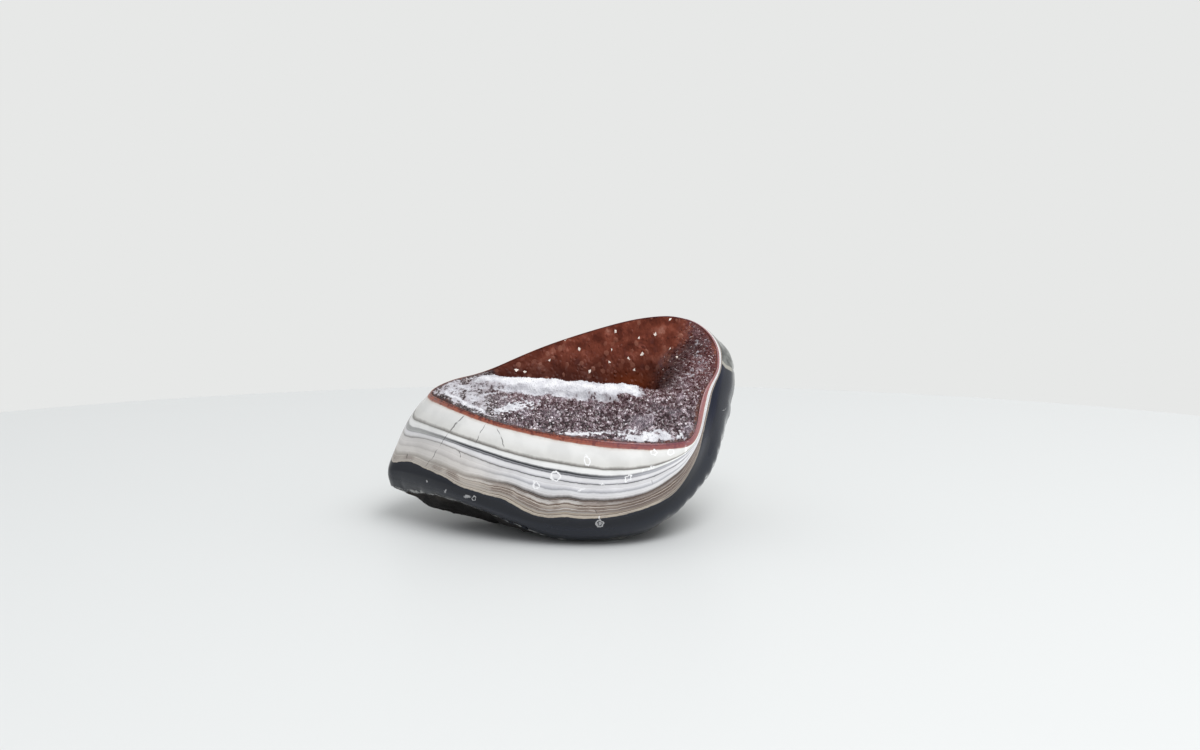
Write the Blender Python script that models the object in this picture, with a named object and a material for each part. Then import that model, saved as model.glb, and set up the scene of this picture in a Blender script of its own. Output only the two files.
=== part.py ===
"""A polished geode: a banded agate body with a hollow, and the crust of quartz crystals that lines it.

Metres, +Z up. X runs along the specimen, and -Y is the polished front. The body stands on a small flat
spot at z = 0. Its surface is lofted over stations round the rim of the hollow, and each station gives
three places: the lip of the hollow, the border of the pale bands with the dark outer agate, and the edge
below, where the front's polish ends. Behind, the natural skin begins at the border already.
"""

import itertools
import math
import random

import bmesh
import bpy
import numpy as np
from mathutils import Vector, noise
from mathutils.geometry import delaunay_2d_cdt

MM = 0.001

# Lip, border and edge of each station, in mm, along the front from the left tip, up the right side and
# back along the rear rim.
STATIONS_MM = (
    ((-38.7, 6.0, 38.2), (-50.5, 4.5, 18.5), (-51.0, 6.0, 10.6)),
    ((-34.0, 1.0, 36.9), (-47.0, 0.5, 18.0), (-47.5, 3.5, 9.8)),
    ((-26.3, -6.0, 35.3), (-39.5, -6.0, 17.3), (-41.0, -1.0, 10.2)),
    ((-17.5, -11.0, 33.4), (-28.5, -13.5, 14.5), (-30.5, -8.5, 9.8)),
    ((-6.0, -15.0, 31.7), (-14.5, -19.5, 10.8), (-16.5, -14.0, 5.7)),
    ((5.4, -17.0, 30.4), (-0.4, -23.0, 9.2), (-2.0, -17.0, 0.9)),
    ((16.6, -18.0, 29.5), (13.0, -24.0, 9.2), (11.0, -17.0, 0.4)),
    ((26.5, -17.0, 28.7), (23.8, -22.0, 10.6), (22.5, -14.5, 1.3)),
    ((33.7, -15.0, 28.6), (32.3, -17.0, 13.5), (31.5, -10.5, 5.4)),
    ((37.2, -12.0, 29.2), (37.7, -12.0, 18.3), (38.0, -5.0, 10.6)),
    ((39.0, -8.0, 32.2), (41.5, -7.0, 24.0), (43.7, 0.0, 16.4)),
    ((40.2, -2.0, 36.7), (44.6, -1.0, 32.0), (47.0, 6.0, 24.4)),
    ((41.8, 2.0, 40.8), (46.0, 3.5, 39.0), (50.2, 12.0, 34.0)),
    ((44.9, 6.0, 44.7), (47.5, 8.0, 44.0), (51.0, 16.0, 42.0)),
    ((45.6, 10.0, 48.1), (48.2, 13.0, 47.3), (50.4, 20.0, 45.6)),
    ((45.1, 13.0, 51.3), (47.3, 16.5, 50.2), (49.0, 23.0, 47.4)),
    ((42.9, 17.0, 54.5), (44.7, 20.3, 52.9), (46.2, 27.0, 47.6)),
    ((39.2, 20.0, 56.9), (40.6, 23.8, 55.1), (42.0, 30.5, 45.6)),
    ((34.2, 22.0, 58.1), (35.0, 26.0, 56.3), (35.0, 33.0, 44.0)),
    ((28.9, 23.0, 58.2), (29.0, 27.2, 56.4), (28.0, 34.0, 42.0)),
    ((20.0, 25.0, 56.6), (19.5, 29.0, 54.6), (18.0, 35.0, 38.0)),
    ((8.0, 26.0, 53.1), (7.0, 30.0, 51.0), (5.0, 35.0, 34.0)),
    ((-4.0, 26.0, 49.1), (-5.2, 29.8, 47.0), (-8.0, 34.0, 30.0)),
    ((-13.0, 25.0, 45.6), (-14.8, 28.8, 43.3), (-20.0, 32.0, 27.0)),
    ((-20.5, 23.0, 42.6), (-23.0, 26.6, 40.1), (-30.0, 29.0, 24.0)),
    ((-26.3, 20.0, 41.1), (-30.0, 23.5, 37.8), (-38.0, 25.0, 21.0)),
    ((-31.9, 15.0, 40.7), (-37.5, 18.5, 35.5), (-45.0, 19.5, 18.0)),
    ((-36.6, 10.0, 39.7), (-45.0, 11.5, 29.0), (-49.5, 13.0, 14.0)),
)

# The solids are moved by this much, so that the origin is under the middle of the specimen.
DATUM = (-0.0003, 0.0056, 0.0)

# Flat spot that the stone was ground to stand on.
FOOT_CENTRE = (0.007, 0.003, 0.0)
FOOT_HALF = (0.016, 0.012)

# How far the pale face and the dark belly below it swell, as a share of their width. A ramp is given as
# the place where it starts and the way it takes: this one leads from the front to the rear.
FACE_BULGE = 0.06
BELLY_BULGE_FRONT = 0.17
BELLY_BULGE_REAR = 0.08
REAR_RAMP = (-0.004, 0.016)

# How far the skin swells on its way from the edge to the flat spot, as a share of that way, at eighths of
# a turn counted from the right end towards the back. SWELL_WAY is the direction at SWELL_REACH to the right.
# SKIN_DROP is the share by which the skin sags straight down below the left end.
SKIN_SWELL = (0.20, 0.19, 0.15, 0.08, 0.0, 0.0, 0.0, 0.06)
SKIN_DROP = (0.0, 0.0, 0.0, 0.02, 0.075, 0.055, 0.01, 0.0)
SWELL_WAY = (0.35, 0.9, -0.45)
SWELL_REACH = 0.05
SKIN_FLOOR = 0.0006

# Where the natural skin reaches up to the rim: behind, and at the left of the back.
SKIN_BACK_RAMP = (0.0265, 0.004)
SKIN_LEFT_RAMP = (0.022, 0.004)
SKIN_LEFT_BACK_RAMP = (0.012, 0.006)
SKIN_DOWN_RAMP = (0.5, 0.2)
SKIN_ROWS_TO_FULL = 3

# Lumps of the natural skin as (width, height), then its pits, and the scoops of its lower right edge.
SKIN_LUMPS = ((0.0120, 0.0014), (0.0056, 0.0009))
PIT_COUNT = 30
PIT_RADIUS = (0.0024, 0.0046)
PIT_DEPTH = 0.42
PIT_TURN = (-0.15, 1.15)
PIT_HEIGHT = (0.006, 0.044)
PIT_SPREAD = (0.046, 0.030)
PIT_SPREAD_BELOW = 0.6
CHIP_WIDTH = 0.0062
CHIP_DEPTH = 0.0012
CHIP_UNEVENNESS = (0.64, 0.7)
CHIP_RIGHT_RAMP = (0.016, 0.012)
CHIP_END_RAMP = (0.014, 0.006)

# The hollow's floor rises from the front lip to a ledge, drops behind it into a trough and meets the walls.
HOLLOW_CENTRE = (0.004, 0.002)
FLOOR_FRONT_Y = -0.0175
FLOOR_FRONT_Z = 0.0296
FLOOR_SLOPE = 0.43
FLOOR_TOP = 0.0405
FLOOR_TOP_RIGHT = 0.0525
FLOOR_ROUND = 0.0015
LEDGE_Y = 0.0095
LEDGE_SLANT = -0.19
TROUGH_DEPTH = 0.0095
TROUGH_RUN = 0.0085
TROUGH_LEFT_RAMP = (-0.026, 0.012)
TROUGH_RIGHT_RAMP = (0.022, 0.012)
WALL_RUN_FRONT = 0.006
WALL_RUN_REAR = 0.012
HOLLOW_SAMPLES = 160
OPEN_AIR = (0.004, -0.008, 0.07)

# The crust: a land of bare stone inside the lip, then a seat that deepens from the crust's edge inwards.
SEAT_LAND = 0.0004
SEAT_STEP = 0.00005
CRUST_INSET = 0.0008
CRUST_GAP = 0.0003
CRUST_EDGE_THICKNESS = 0.0005
CRUST_THICKNESS = 0.0022
CRUST_DEEPENING = 0.25
SEAT_WAY = (0.0, -0.3, 0.954)
SEAT_WAY_SHARE = 0.75
SEAT_WAY_FULL_AT = 0.4

# The white ledge of the crust.
LEDGE_RISE = 0.0016
LEDGE_FRONT_RAMP = (-0.0065, 0.0015)
LEDGE_BACK_RAMP = (0.001, 0.003)
LEDGE_LEFT_RAMP = (-0.028, 0.006)
LEDGE_RIGHT_RAMP = (0.021, 0.006)

# Crystal tips, their height and the depth between them as shares of their spacing.
CRYSTAL_SPACING = 0.0020
CRYSTAL_RISE = 0.34
CRYSTAL_VARIATION = (0.55, 1.45)
CRYSTAL_DIP = 0.16
CRYSTAL_TRIES = 40000
EDGE_RISE_SHARE = 0.35
EDGE_RISE_RUN = 0.003
EDGE_DIP_SHARE = 0.2
EDGE_DIP_WITHIN = 0.03

COLUMNS_PER_STATION = 3
DRUSE_ROWS = 48
POLISHED_SHARES = (0.0, 0.12, 0.26, 0.38, 0.5, 0.66, 0.83, 1.0)
SKIN_SHARES = (0.1, 0.2, 0.3, 0.4, 0.5, 0.6, 0.7, 0.8, 0.9, 1.0)
SEAT_SHARES = (0.0, 0.12, 0.26, 0.4, 0.52, 0.64, 0.8)
SITE_SEED = 11
RISE_SEED = 12
PIT_SEED = 13
SMOOTH_ANGLE = math.radians(40)
TINY = 1e-12


def ramp(value, start, run):
    """A rise from 0 to 1 with flat ends."""
    share = np.clip((value - start) / run, 0.0, 1.0)
    return share * share * (3.0 - 2.0 * share)


def mix(first, second, share):
    return first * (1 - share) + second * share


def unit(vectors):
    return vectors / (np.linalg.norm(vectors, axis=-1)[..., None] + TINY)


def spline(a, b, c, d, t):
    """The Catmull-Rom curve between b and c."""
    return 0.5 * (2 * b + (c - a) * t + (2 * a - 5 * b + 4 * c - d) * t**2 + (3 * b - a - 3 * c + d) * t**3)


def closed_curve(points, per_point):
    """A closed smooth curve through the points."""
    at = np.arange(len(points) * per_point) / per_point
    index = at.astype(int)
    a, b, c, d = (points[(index + shift) % len(points)] for shift in (-1, 0, 1, 2))
    return spline(a, b, c, d, (at - index)[:, None])


def rings_between(rings, shares):
    """Rings on smooth curves that run across the given rings."""
    rings = np.asarray(rings)
    padded = np.concatenate([[2 * rings[0] - rings[1]], rings, [2 * rings[-1] - rings[-2]]])
    out = []
    for share in shares:
        place = share * (len(rings) - 1)
        index = min(int(place), len(rings) - 2)
        out.append(spline(*padded[index : index + 4], place - index))
    return out


def bulged_middle(first, last, amount, outward):
    """The ring halfway between two rings, pushed out by a share of their distance."""
    run = last - first
    both = first + last
    normal = unit(np.cross(run, np.roll(both, -1, axis=0) - np.roll(both, 1, axis=0)))
    normal *= np.where((normal * outward).sum(axis=1) < 0, -1.0, 1.0)[:, None]
    return both / 2 + normal * (amount * np.linalg.norm(run, axis=1))[:, None]


def station_rings():
    """The lip, the border and the edge as closed rings."""
    stations = np.array(STATIONS_MM) * MM
    return [closed_curve(stations[:, place], COLUMNS_PER_STATION) for place in range(3)]


def foot_ring(edge):
    """The rim of the flat spot, with one point towards each point of the edge."""
    centre = np.array(FOOT_CENTRE[:2])
    ring = np.zeros_like(edge)
    ring[:, :2] = centre + unit((edge[:, :2] - centre) / FOOT_HALF) * FOOT_HALF
    return ring


def chipped(edge, border):
    """The edge with small scoops nibbled from its lower right stretch."""
    side = ramp(edge[:, 0], *CHIP_RIGHT_RAMP) * (1 - ramp(edge[:, 1], *CHIP_END_RAMP))
    step = np.linalg.norm(np.diff(edge, axis=0), axis=1)
    along = np.concatenate([[0.0], np.cumsum(step)]) / CHIP_WIDTH
    along += CHIP_UNEVENNESS[0] * np.sin(CHIP_UNEVENNESS[1] * along)
    scoop = 1 - np.abs(np.sin(np.pi * along))
    return edge - unit(edge - border) * (CHIP_DEPTH * side * scoop)[:, None]


def swollen_middle(edge, foot):
    """The ring of the skin halfway between the edge and the flat spot."""
    turn = np.arctan2(edge[:, 1] - FOOT_CENTRE[1], edge[:, 0] - FOOT_CENTRE[0]) / (math.pi / 4)
    swell = np.interp(turn % 8, np.arange(9), SKIN_SWELL + SKIN_SWELL[:1])
    way = np.array(SWELL_WAY) * np.ones_like(edge)
    way[:, 0] *= edge[:, 0] / SWELL_REACH
    span = np.linalg.norm(foot - edge, axis=1)
    ring = (edge + foot) / 2 + way * (swell * span)[:, None]
    ring[:, 2] -= np.interp(turn % 8, np.arange(9), SKIN_DROP + SKIN_DROP[:1]) * span
    ring[:, 2] = np.maximum(ring[:, 2], SKIN_FLOOR)
    return ring


def outer_rings():
    """Rings from the lip, over the polished face and the natural skin, down to the flat spot."""
    lip, border, edge = station_rings()
    middle = (lip + edge).mean(axis=0)
    edge = chipped(edge, border)
    foot = foot_ring(edge)
    face = bulged_middle(lip, border, FACE_BULGE, border - middle)
    belly_bulge = mix(BELLY_BULGE_FRONT, BELLY_BULGE_REAR, ramp(edge[:, 1], *REAR_RAMP))
    belly = bulged_middle(border, edge, belly_bulge, edge - middle)
    polished = rings_between([lip, face, border, belly, edge], POLISHED_SHARES)
    skin = rings_between([edge, swollen_middle(edge, foot), foot], SKIN_SHARES)
    return roughened(polished + skin, edge)


def skin_share(place, edge):
    """How much of the natural skin shows on a ring: none on the polish, all of it below and behind."""
    left = ramp(-edge[:, 0], *SKIN_LEFT_RAMP) * ramp(edge[:, 1], *SKIN_LEFT_BACK_RAMP)
    behind = np.clip(ramp(edge[:, 1], *SKIN_BACK_RAMP) + left, 0, 1)
    below = place - len(POLISHED_SHARES) + 1
    if below <= 0:
        return behind * ramp(POLISHED_SHARES[place], *SKIN_DOWN_RAMP)
    return np.maximum(behind, ramp(below, 0, SKIN_ROWS_TO_FULL))


def roughened(rings, edge):
    """The rings with the natural skin's lumps and pits. The last ring, round the flat spot, stays flat."""
    grid = np.array(rings)
    across = np.roll(grid, -1, axis=1) - np.roll(grid, 1, axis=1)
    normals = unit(np.cross(np.gradient(grid, axis=0), across))
    if ((grid - grid.mean(axis=(0, 1))) * normals).sum() < 0:
        normals = -normals
    pits = skin_pits()
    for place in range(len(rings) - 1):
        height = np.array([skin_height(point, pits) for point in rings[place]])
        grid[place] += normals[place] * (skin_share(place, edge) * height)[:, None]
        grid[place, :, 2] = np.maximum(grid[place, :, 2], SKIN_FLOOR)
    return list(grid)


def skin_pits():
    """Seeded places and radii of the pits on the back and the right end."""
    draw = random.Random(PIT_SEED)
    pits = []
    for _ in range(PIT_COUNT):
        turn = draw.uniform(*PIT_TURN) * math.pi
        height = draw.uniform(*PIT_HEIGHT)
        reach = mix(PIT_SPREAD_BELOW, 1.0, height / PIT_HEIGHT[1])
        across = PIT_SPREAD[0] * reach * math.cos(turn)
        back = PIT_SPREAD[1] * reach * math.sin(turn)
        pits.append((Vector((across, FOOT_CENTRE[1] + back, height)), draw.uniform(*PIT_RADIUS)))
    return pits


def skin_height(point, pits):
    """Height of the natural skin's lumps and pits at a point."""
    place = Vector(point)
    height = sum(rise * noise.noise(place / width) for width, rise in SKIN_LUMPS)
    for centre, radius in pits:
        away = (place - centre).length / (2 * radius)
        if away < 1:
            height -= PIT_DEPTH * radius * (1 - away * away) ** 2
    return height


def behind_ledge(x, y):
    """How far a place lies behind the ledge's crest."""
    return y - (LEDGE_Y + LEDGE_SLANT * x)


def floor_height(x, y):
    """Height of the hollow's floor, before its walls rise from it."""
    right = ramp(x, *TROUGH_RIGHT_RAMP)
    slope = FLOOR_FRONT_Z + FLOOR_SLOPE * (y - FLOOR_FRONT_Y)
    top = mix(FLOOR_TOP, FLOOR_TOP_RIGHT, right)
    floor = top - FLOOR_ROUND * np.log1p(np.exp((top - slope) / FLOOR_ROUND))
    trough = ramp(behind_ledge(x, y), 0, TROUGH_RUN) * ramp(x, *TROUGH_LEFT_RAMP) * (1 - right)
    return floor - TROUGH_DEPTH * trough


def hollow_rings(lip, ways):
    """Rings of the smooth hollow, and the length of each column from the lip to the pole.

    Each way is a length down from the lip, and the share of the rest of the column that comes after it.
    """
    share = np.linspace(0, 1, HOLLOW_SAMPLES)[:, None, None]
    flat = mix(lip[None, :, :2], np.array(HOLLOW_CENTRE), share)
    down = np.linalg.norm(flat - lip[None, :, :2], axis=2)
    run = mix(WALL_RUN_FRONT, WALL_RUN_REAR, ramp(lip[:, 1], *REAR_RAMP))
    rise = lip[:, 2] - floor_height(lip[:, 0], lip[:, 1])
    wall = np.clip(1 - down / run, 0, 1) ** 2 * rise
    path = np.dstack([flat, floor_height(flat[..., 0], flat[..., 1]) + wall])
    steps = np.linalg.norm(np.diff(path, axis=0), axis=2)
    length = np.concatenate([np.zeros((1, len(lip))), np.cumsum(steps, axis=0)])
    rings = np.empty((len(ways), len(lip), 3))
    for row, (fixed, part) in enumerate(ways):
        for column, total in enumerate(length[-1]):
            at = mix(fixed, total, part)
            rings[row, column] = [np.interp(at, length[:, column], path[:, column, axis]) for axis in range(3)]
    return rings, length[-1]


def hollow_pole():
    """The place on the hollow's floor where every column ends."""
    x, y = HOLLOW_CENTRE
    return np.array([x, y, floor_height(x, y)])


def hollow_normals(rings):
    """Unit normals of a stack of hollow rings that ends at the pole, pointing into the open."""
    pole = hollow_pole()
    grid = np.concatenate([rings, np.repeat(pole[None, None], len(rings[0]), axis=1)])
    across = np.roll(grid, -1, axis=1) - np.roll(grid, 1, axis=1)
    normals = unit(np.cross(across, np.gradient(grid, axis=0)))[:-1]
    toward = np.array(OPEN_AIR) - rings
    return normals * np.where((normals * toward).sum(axis=2) < 0, -1.0, 1.0)[..., None]


def crust_depth(down):
    """How deep the crust is seated below the smooth hollow, by the way down from the lip."""
    return np.minimum(CRUST_EDGE_THICKNESS + CRUST_DEEPENING * (down - CRUST_INSET), CRUST_THICKNESS)


def seated_rings(lip, clearance):
    """Rings of the seat or, with no clearance, of the crust's underside, from the crust's edge inwards."""
    ways = [(CRUST_INSET, share) for share in SEAT_SHARES]
    rings, totals = hollow_rings(lip, ways)
    normals = hollow_normals(rings)
    out = []
    for ring, normal, share in zip(rings, normals, SEAT_SHARES):
        steady = SEAT_WAY_SHARE * ramp(share, 0, SEAT_WAY_FULL_AT)
        depth = crust_depth(mix(CRUST_INSET, totals, share)) + clearance
        out.append(ring - unit(mix(normal, np.array(SEAT_WAY), steady)) * depth[:, None])
    return out


def seated_pole(clearance):
    """The pole of the seat or, with no clearance, of the crust's underside."""
    return hollow_pole() - np.array(SEAT_WAY) * (CRUST_THICKNESS + clearance)


def add_rings(bm, rings, poles):
    """Joins a stack of rings into one skin. A fan of faces closes its first end and, if given, its last."""
    rows = [[bm.verts.new(point) for point in ring] for ring in rings]
    for upper, lower in zip(rows, rows[1:]):
        for column in range(len(upper)):
            after = (column + 1) % len(upper)
            bm.faces.new((upper[column], upper[after], lower[after], lower[column]))
    for row, pole in zip((rows[0], rows[-1]), poles):
        tip = bm.verts.new(pole)
        for column in range(len(row)):
            bm.faces.new((row[column], row[(column + 1) % len(row)], tip))
    return rows


def finish_object(name, bm, material):
    """Turns the mesh into a named object with its faces outwards and its own material."""
    bmesh.ops.translate(bm, verts=bm.verts[:], vec=-Vector(DATUM))
    bmesh.ops.triangulate(bm, faces=bm.faces[:])
    bmesh.ops.recalc_face_normals(bm, faces=bm.faces[:])
    if bm.calc_volume(signed=True) < 0:
        bmesh.ops.reverse_faces(bm, faces=bm.faces[:])
    mesh = bpy.data.meshes.new(name)
    bm.to_mesh(mesh)
    bm.free()
    mesh.materials.append(material)
    obj = bpy.data.objects.new(name, mesh)
    bpy.context.scene.collection.objects.link(obj)
    return obj


def make_material(name, colour, roughness):
    """A Principled material of one colour."""
    material = bpy.data.materials.new(name)
    material.use_nodes = True
    shader = material.node_tree.nodes["Principled BSDF"]
    shader.inputs["Base Color"].default_value = (*colour, 1.0)
    shader.inputs["Roughness"].default_value = roughness
    shader.inputs["Metallic"].default_value = 0.0
    material.diffuse_color = (*colour, 1.0)
    return material


def build_stone():
    """The agate body: the crust's seat, the lip, the polished face, the skin and the flat spot."""
    outside = outer_rings()
    lip = outside[0]
    seat = seated_rings(lip, CRUST_GAP)
    land, step, edge_of_crust = hollow_rings(
        lip, [(SEAT_LAND, 0.0), (SEAT_LAND + SEAT_STEP, 0.0), (CRUST_INSET, 0.0)]
    )[0]
    step_foot = step + (seat[0] - edge_of_crust)
    bm = bmesh.new()
    add_rings(bm, seat[::-1] + [step_foot, land] + outside, (seated_pole(CRUST_GAP), FOOT_CENTRE))
    stone = finish_object("stone", bm, make_material("polished_agate", (0.42, 0.40, 0.40), 0.18))
    stone.data.shade_smooth()
    stone.data.set_sharp_from_angle(angle=SMOOTH_ANGLE)


class Druse:
    """The smooth top of the crust, read at any place. A place is a column and a share of the way down it."""

    def __init__(self, lip):
        ways = [(CRUST_INSET, row / DRUSE_ROWS) for row in range(DRUSE_ROWS)]
        rings, totals = hollow_rings(lip, ways)
        normals = hollow_normals(rings)
        pole = np.repeat(hollow_pole()[None, None], len(lip), axis=1)
        self.normals = np.concatenate([normals, normals[-1:]])
        self.points = np.concatenate([rings, pole])
        self.points += self.normals * ledge_rise(self.points[..., 0], self.points[..., 1])[..., None]
        self.lengths = totals - CRUST_INSET
        self.ways = unit(lip[:, :2] - np.array(HOLLOW_CENTRE))

    def beside(self, column):
        """The two columns that a place lies between, and how far it is from the first."""
        left = int(column) % len(self.ways)
        return left, (left + 1) % len(self.ways), column - int(column)

    def read(self, table, column, share):
        """A value of a table of rings at a place."""
        row = min(int(share * DRUSE_ROWS), DRUSE_ROWS - 1)
        left, right, side = self.beside(column)
        upper = mix(table[row][left], table[row][right], side)
        lower = mix(table[row + 1][left], table[row + 1][right], side)
        return mix(upper, lower, share * DRUSE_ROWS - row)

    def length(self, column):
        """Length of the crust from its edge to the pole."""
        left, right, side = self.beside(column)
        return mix(self.lengths[left], self.lengths[right], side)

    def flat(self, column, share):
        """The place on a disc onto which the crust is unrolled."""
        left, right, side = self.beside(column)
        return unit(mix(self.ways[left], self.ways[right], side)) * self.length(column) * (1 - share)


def ledge_rise(x, y):
    """How far the white ledge stands up from the smooth hollow."""
    behind = behind_ledge(x, y)
    across = ramp(behind, *LEDGE_FRONT_RAMP) * (1 - ramp(behind, *LEDGE_BACK_RAMP))
    along = ramp(x, *LEDGE_LEFT_RAMP) * (1 - ramp(x, *LEDGE_RIGHT_RAMP))
    return LEDGE_RISE * across * along


def crystal_sites(druse):
    """Places for crystal tips, no two nearer than the crystal spacing, in a seeded order."""
    draw = random.Random(SITE_SEED)
    taken = {}
    sites = []
    for _ in range(CRYSTAL_TRIES):
        column = draw.uniform(0, len(druse.ways))
        share = 1 - math.sqrt(draw.random())
        if share * druse.length(column) < CRYSTAL_SPACING / 2:
            continue
        point = druse.read(druse.points, column, share)
        cell = tuple(np.floor(point / CRYSTAL_SPACING).astype(int))
        near = [
            other
            for shift in itertools.product((-1, 0, 1), repeat=3)
            for other in taken.get(tuple(np.add(cell, shift)), ())
        ]
        if all(math.dist(point, other) >= CRYSTAL_SPACING for other in near):
            taken.setdefault(cell, []).append(point)
            sites.append((column, share))
    return sites


def crystal_skin(bm, druse, edge):
    """The crust's top: every site is a crystal tip, and the facets of neighbours meet in a valley."""
    columns = len(druse.ways)
    places = [(column, 0.0) for column in range(columns)] + crystal_sites(druse)
    flat = [Vector(druse.flat(*place)) for place in places]
    triangles, originals = delaunay_2d_cdt(flat, [], [list(range(columns))], 1, TINY)[2:4]
    points = np.array([druse.read(druse.points, *place) for place in places])
    normals = np.array([druse.read(druse.normals, *place) for place in places])
    draw = random.Random(RISE_SEED)
    tips = list(edge)
    for (column, share), point, normal in list(zip(places, points, normals))[columns:]:
        room = min(1.0, EDGE_RISE_SHARE + druse.length(column) * share / EDGE_RISE_RUN)
        rise = CRYSTAL_SPACING * CRYSTAL_RISE * draw.uniform(*CRYSTAL_VARIATION) * room
        tips.append(bm.verts.new(point + normal * rise))
    shared = {}
    for triangle in triangles:
        corners = [originals[corner][0] for corner in triangle]
        by_edge = min(places[corner][1] for corner in corners) < EDGE_DIP_WITHIN
        dip = CRYSTAL_SPACING * CRYSTAL_DIP * (EDGE_DIP_SHARE if by_edge else 1.0)
        valley = bm.verts.new(points[corners].mean(axis=0) - normals[corners].mean(axis=0) * dip)
        for first, second in zip(corners, corners[1:] + corners[:1]):
            shared.setdefault(frozenset((first, second)), []).append((first, second, valley))
    for sides in shared.values():
        first, second, valley = sides[0]
        if len(sides) == 1:
            bm.faces.new((tips[first], tips[second], valley))
        else:
            bm.faces.new((tips[first], sides[1][2], valley))
            bm.faces.new((tips[second], valley, sides[1][2]))


def build_crust():
    """The druse that lines the hollow: crystal tips above, and an underside that follows the seat."""
    lip = outer_rings()[0]
    druse = Druse(lip)
    bm = bmesh.new()
    rows = add_rings(bm, seated_rings(lip, 0.0)[::-1] + [druse.points[0]], (seated_pole(0.0),))
    crystal_skin(bm, druse, rows[-1])
    finish_object("crystal_crust", bm, make_material("quartz_druse", (0.30, 0.20, 0.24), 0.35))


def main():
    for obj in list(bpy.data.objects):
        bpy.data.objects.remove(obj, do_unlink=True)
    build_stone()
    build_crust()


main()
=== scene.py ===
import itertools
import math
import random

import bpy
import numpy as np
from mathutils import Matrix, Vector, noise
from mathutils.geometry import delaunay_2d_cdt


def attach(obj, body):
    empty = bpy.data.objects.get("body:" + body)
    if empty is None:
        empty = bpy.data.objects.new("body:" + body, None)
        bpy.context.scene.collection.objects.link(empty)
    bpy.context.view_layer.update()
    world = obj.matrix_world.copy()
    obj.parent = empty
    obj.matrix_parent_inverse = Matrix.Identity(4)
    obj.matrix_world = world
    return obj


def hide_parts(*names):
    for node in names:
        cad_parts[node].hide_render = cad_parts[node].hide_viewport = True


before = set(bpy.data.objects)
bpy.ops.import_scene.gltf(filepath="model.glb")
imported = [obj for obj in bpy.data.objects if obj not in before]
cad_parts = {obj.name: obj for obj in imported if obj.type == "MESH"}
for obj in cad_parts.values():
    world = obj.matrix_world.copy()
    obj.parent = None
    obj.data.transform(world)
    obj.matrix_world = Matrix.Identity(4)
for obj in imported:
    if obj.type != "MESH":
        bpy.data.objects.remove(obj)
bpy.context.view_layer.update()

bl_info = {
    "name": "Polished agate geode",
    "version": (1, 0, 0),
    "blender": (4, 5, 0),
    "location": "View3D > Sidebar > Geode",
    "description": "Dresses the geode's solids with banded agate, a crystal crust and a plain studio",
    "category": "Object",
}

MM = 0.001
PER_MM = 1 / MM

# Lip, border and edge of each station, in mm, along the front from the left tip, up the right side and
# back along the rear rim. They repeat the source's stations.
STATIONS_MM = (
    ((-38.7, 6.0, 38.2), (-50.5, 4.5, 18.5), (-51.0, 6.0, 10.6)),
    ((-34.0, 1.0, 36.9), (-47.0, 0.5, 18.0), (-47.5, 3.5, 9.8)),
    ((-26.3, -6.0, 35.3), (-39.5, -6.0, 17.3), (-41.0, -1.0, 10.2)),
    ((-17.5, -11.0, 33.4), (-28.5, -13.5, 14.5), (-30.5, -8.5, 9.8)),
    ((-6.0, -15.0, 31.7), (-14.5, -19.5, 10.8), (-16.5, -14.0, 5.7)),
    ((5.4, -17.0, 30.4), (-0.4, -23.0, 9.2), (-2.0, -17.0, 0.9)),
    ((16.6, -18.0, 29.5), (13.0, -24.0, 9.2), (11.0, -17.0, 0.4)),
    ((26.5, -17.0, 28.7), (23.8, -22.0, 10.6), (22.5, -14.5, 1.3)),
    ((33.7, -15.0, 28.6), (32.3, -17.0, 13.5), (31.5, -10.5, 5.4)),
    ((37.2, -12.0, 29.2), (37.7, -12.0, 18.3), (38.0, -5.0, 10.6)),
    ((39.0, -8.0, 32.2), (41.5, -7.0, 24.0), (43.7, 0.0, 16.4)),
    ((40.2, -2.0, 36.7), (44.6, -1.0, 32.0), (47.0, 6.0, 24.4)),
    ((41.8, 2.0, 40.8), (46.0, 3.5, 39.0), (50.2, 12.0, 34.0)),
    ((44.9, 6.0, 44.7), (47.5, 8.0, 44.0), (51.0, 16.0, 42.0)),
    ((45.6, 10.0, 48.1), (48.2, 13.0, 47.3), (50.4, 20.0, 45.6)),
    ((45.1, 13.0, 51.3), (47.3, 16.5, 50.2), (49.0, 23.0, 47.4)),
    ((42.9, 17.0, 54.5), (44.7, 20.3, 52.9), (46.2, 27.0, 47.6)),
    ((39.2, 20.0, 56.9), (40.6, 23.8, 55.1), (42.0, 30.5, 45.6)),
    ((34.2, 22.0, 58.1), (35.0, 26.0, 56.3), (35.0, 33.0, 44.0)),
    ((28.9, 23.0, 58.2), (29.0, 27.2, 56.4), (28.0, 34.0, 42.0)),
    ((20.0, 25.0, 56.6), (19.5, 29.0, 54.6), (18.0, 35.0, 38.0)),
    ((8.0, 26.0, 53.1), (7.0, 30.0, 51.0), (5.0, 35.0, 34.0)),
    ((-4.0, 26.0, 49.1), (-5.2, 29.8, 47.0), (-8.0, 34.0, 30.0)),
    ((-13.0, 25.0, 45.6), (-14.8, 28.8, 43.3), (-20.0, 32.0, 27.0)),
    ((-20.5, 23.0, 42.6), (-23.0, 26.6, 40.1), (-30.0, 29.0, 24.0)),
    ((-26.3, 20.0, 41.1), (-30.0, 23.5, 37.8), (-38.0, 25.0, 21.0)),
    ((-31.9, 15.0, 40.7), (-37.5, 18.5, 35.5), (-45.0, 19.5, 18.0)),
    ((-36.6, 10.0, 39.7), (-45.0, 11.5, 29.0), (-49.5, 13.0, 14.0)),
)

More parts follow.
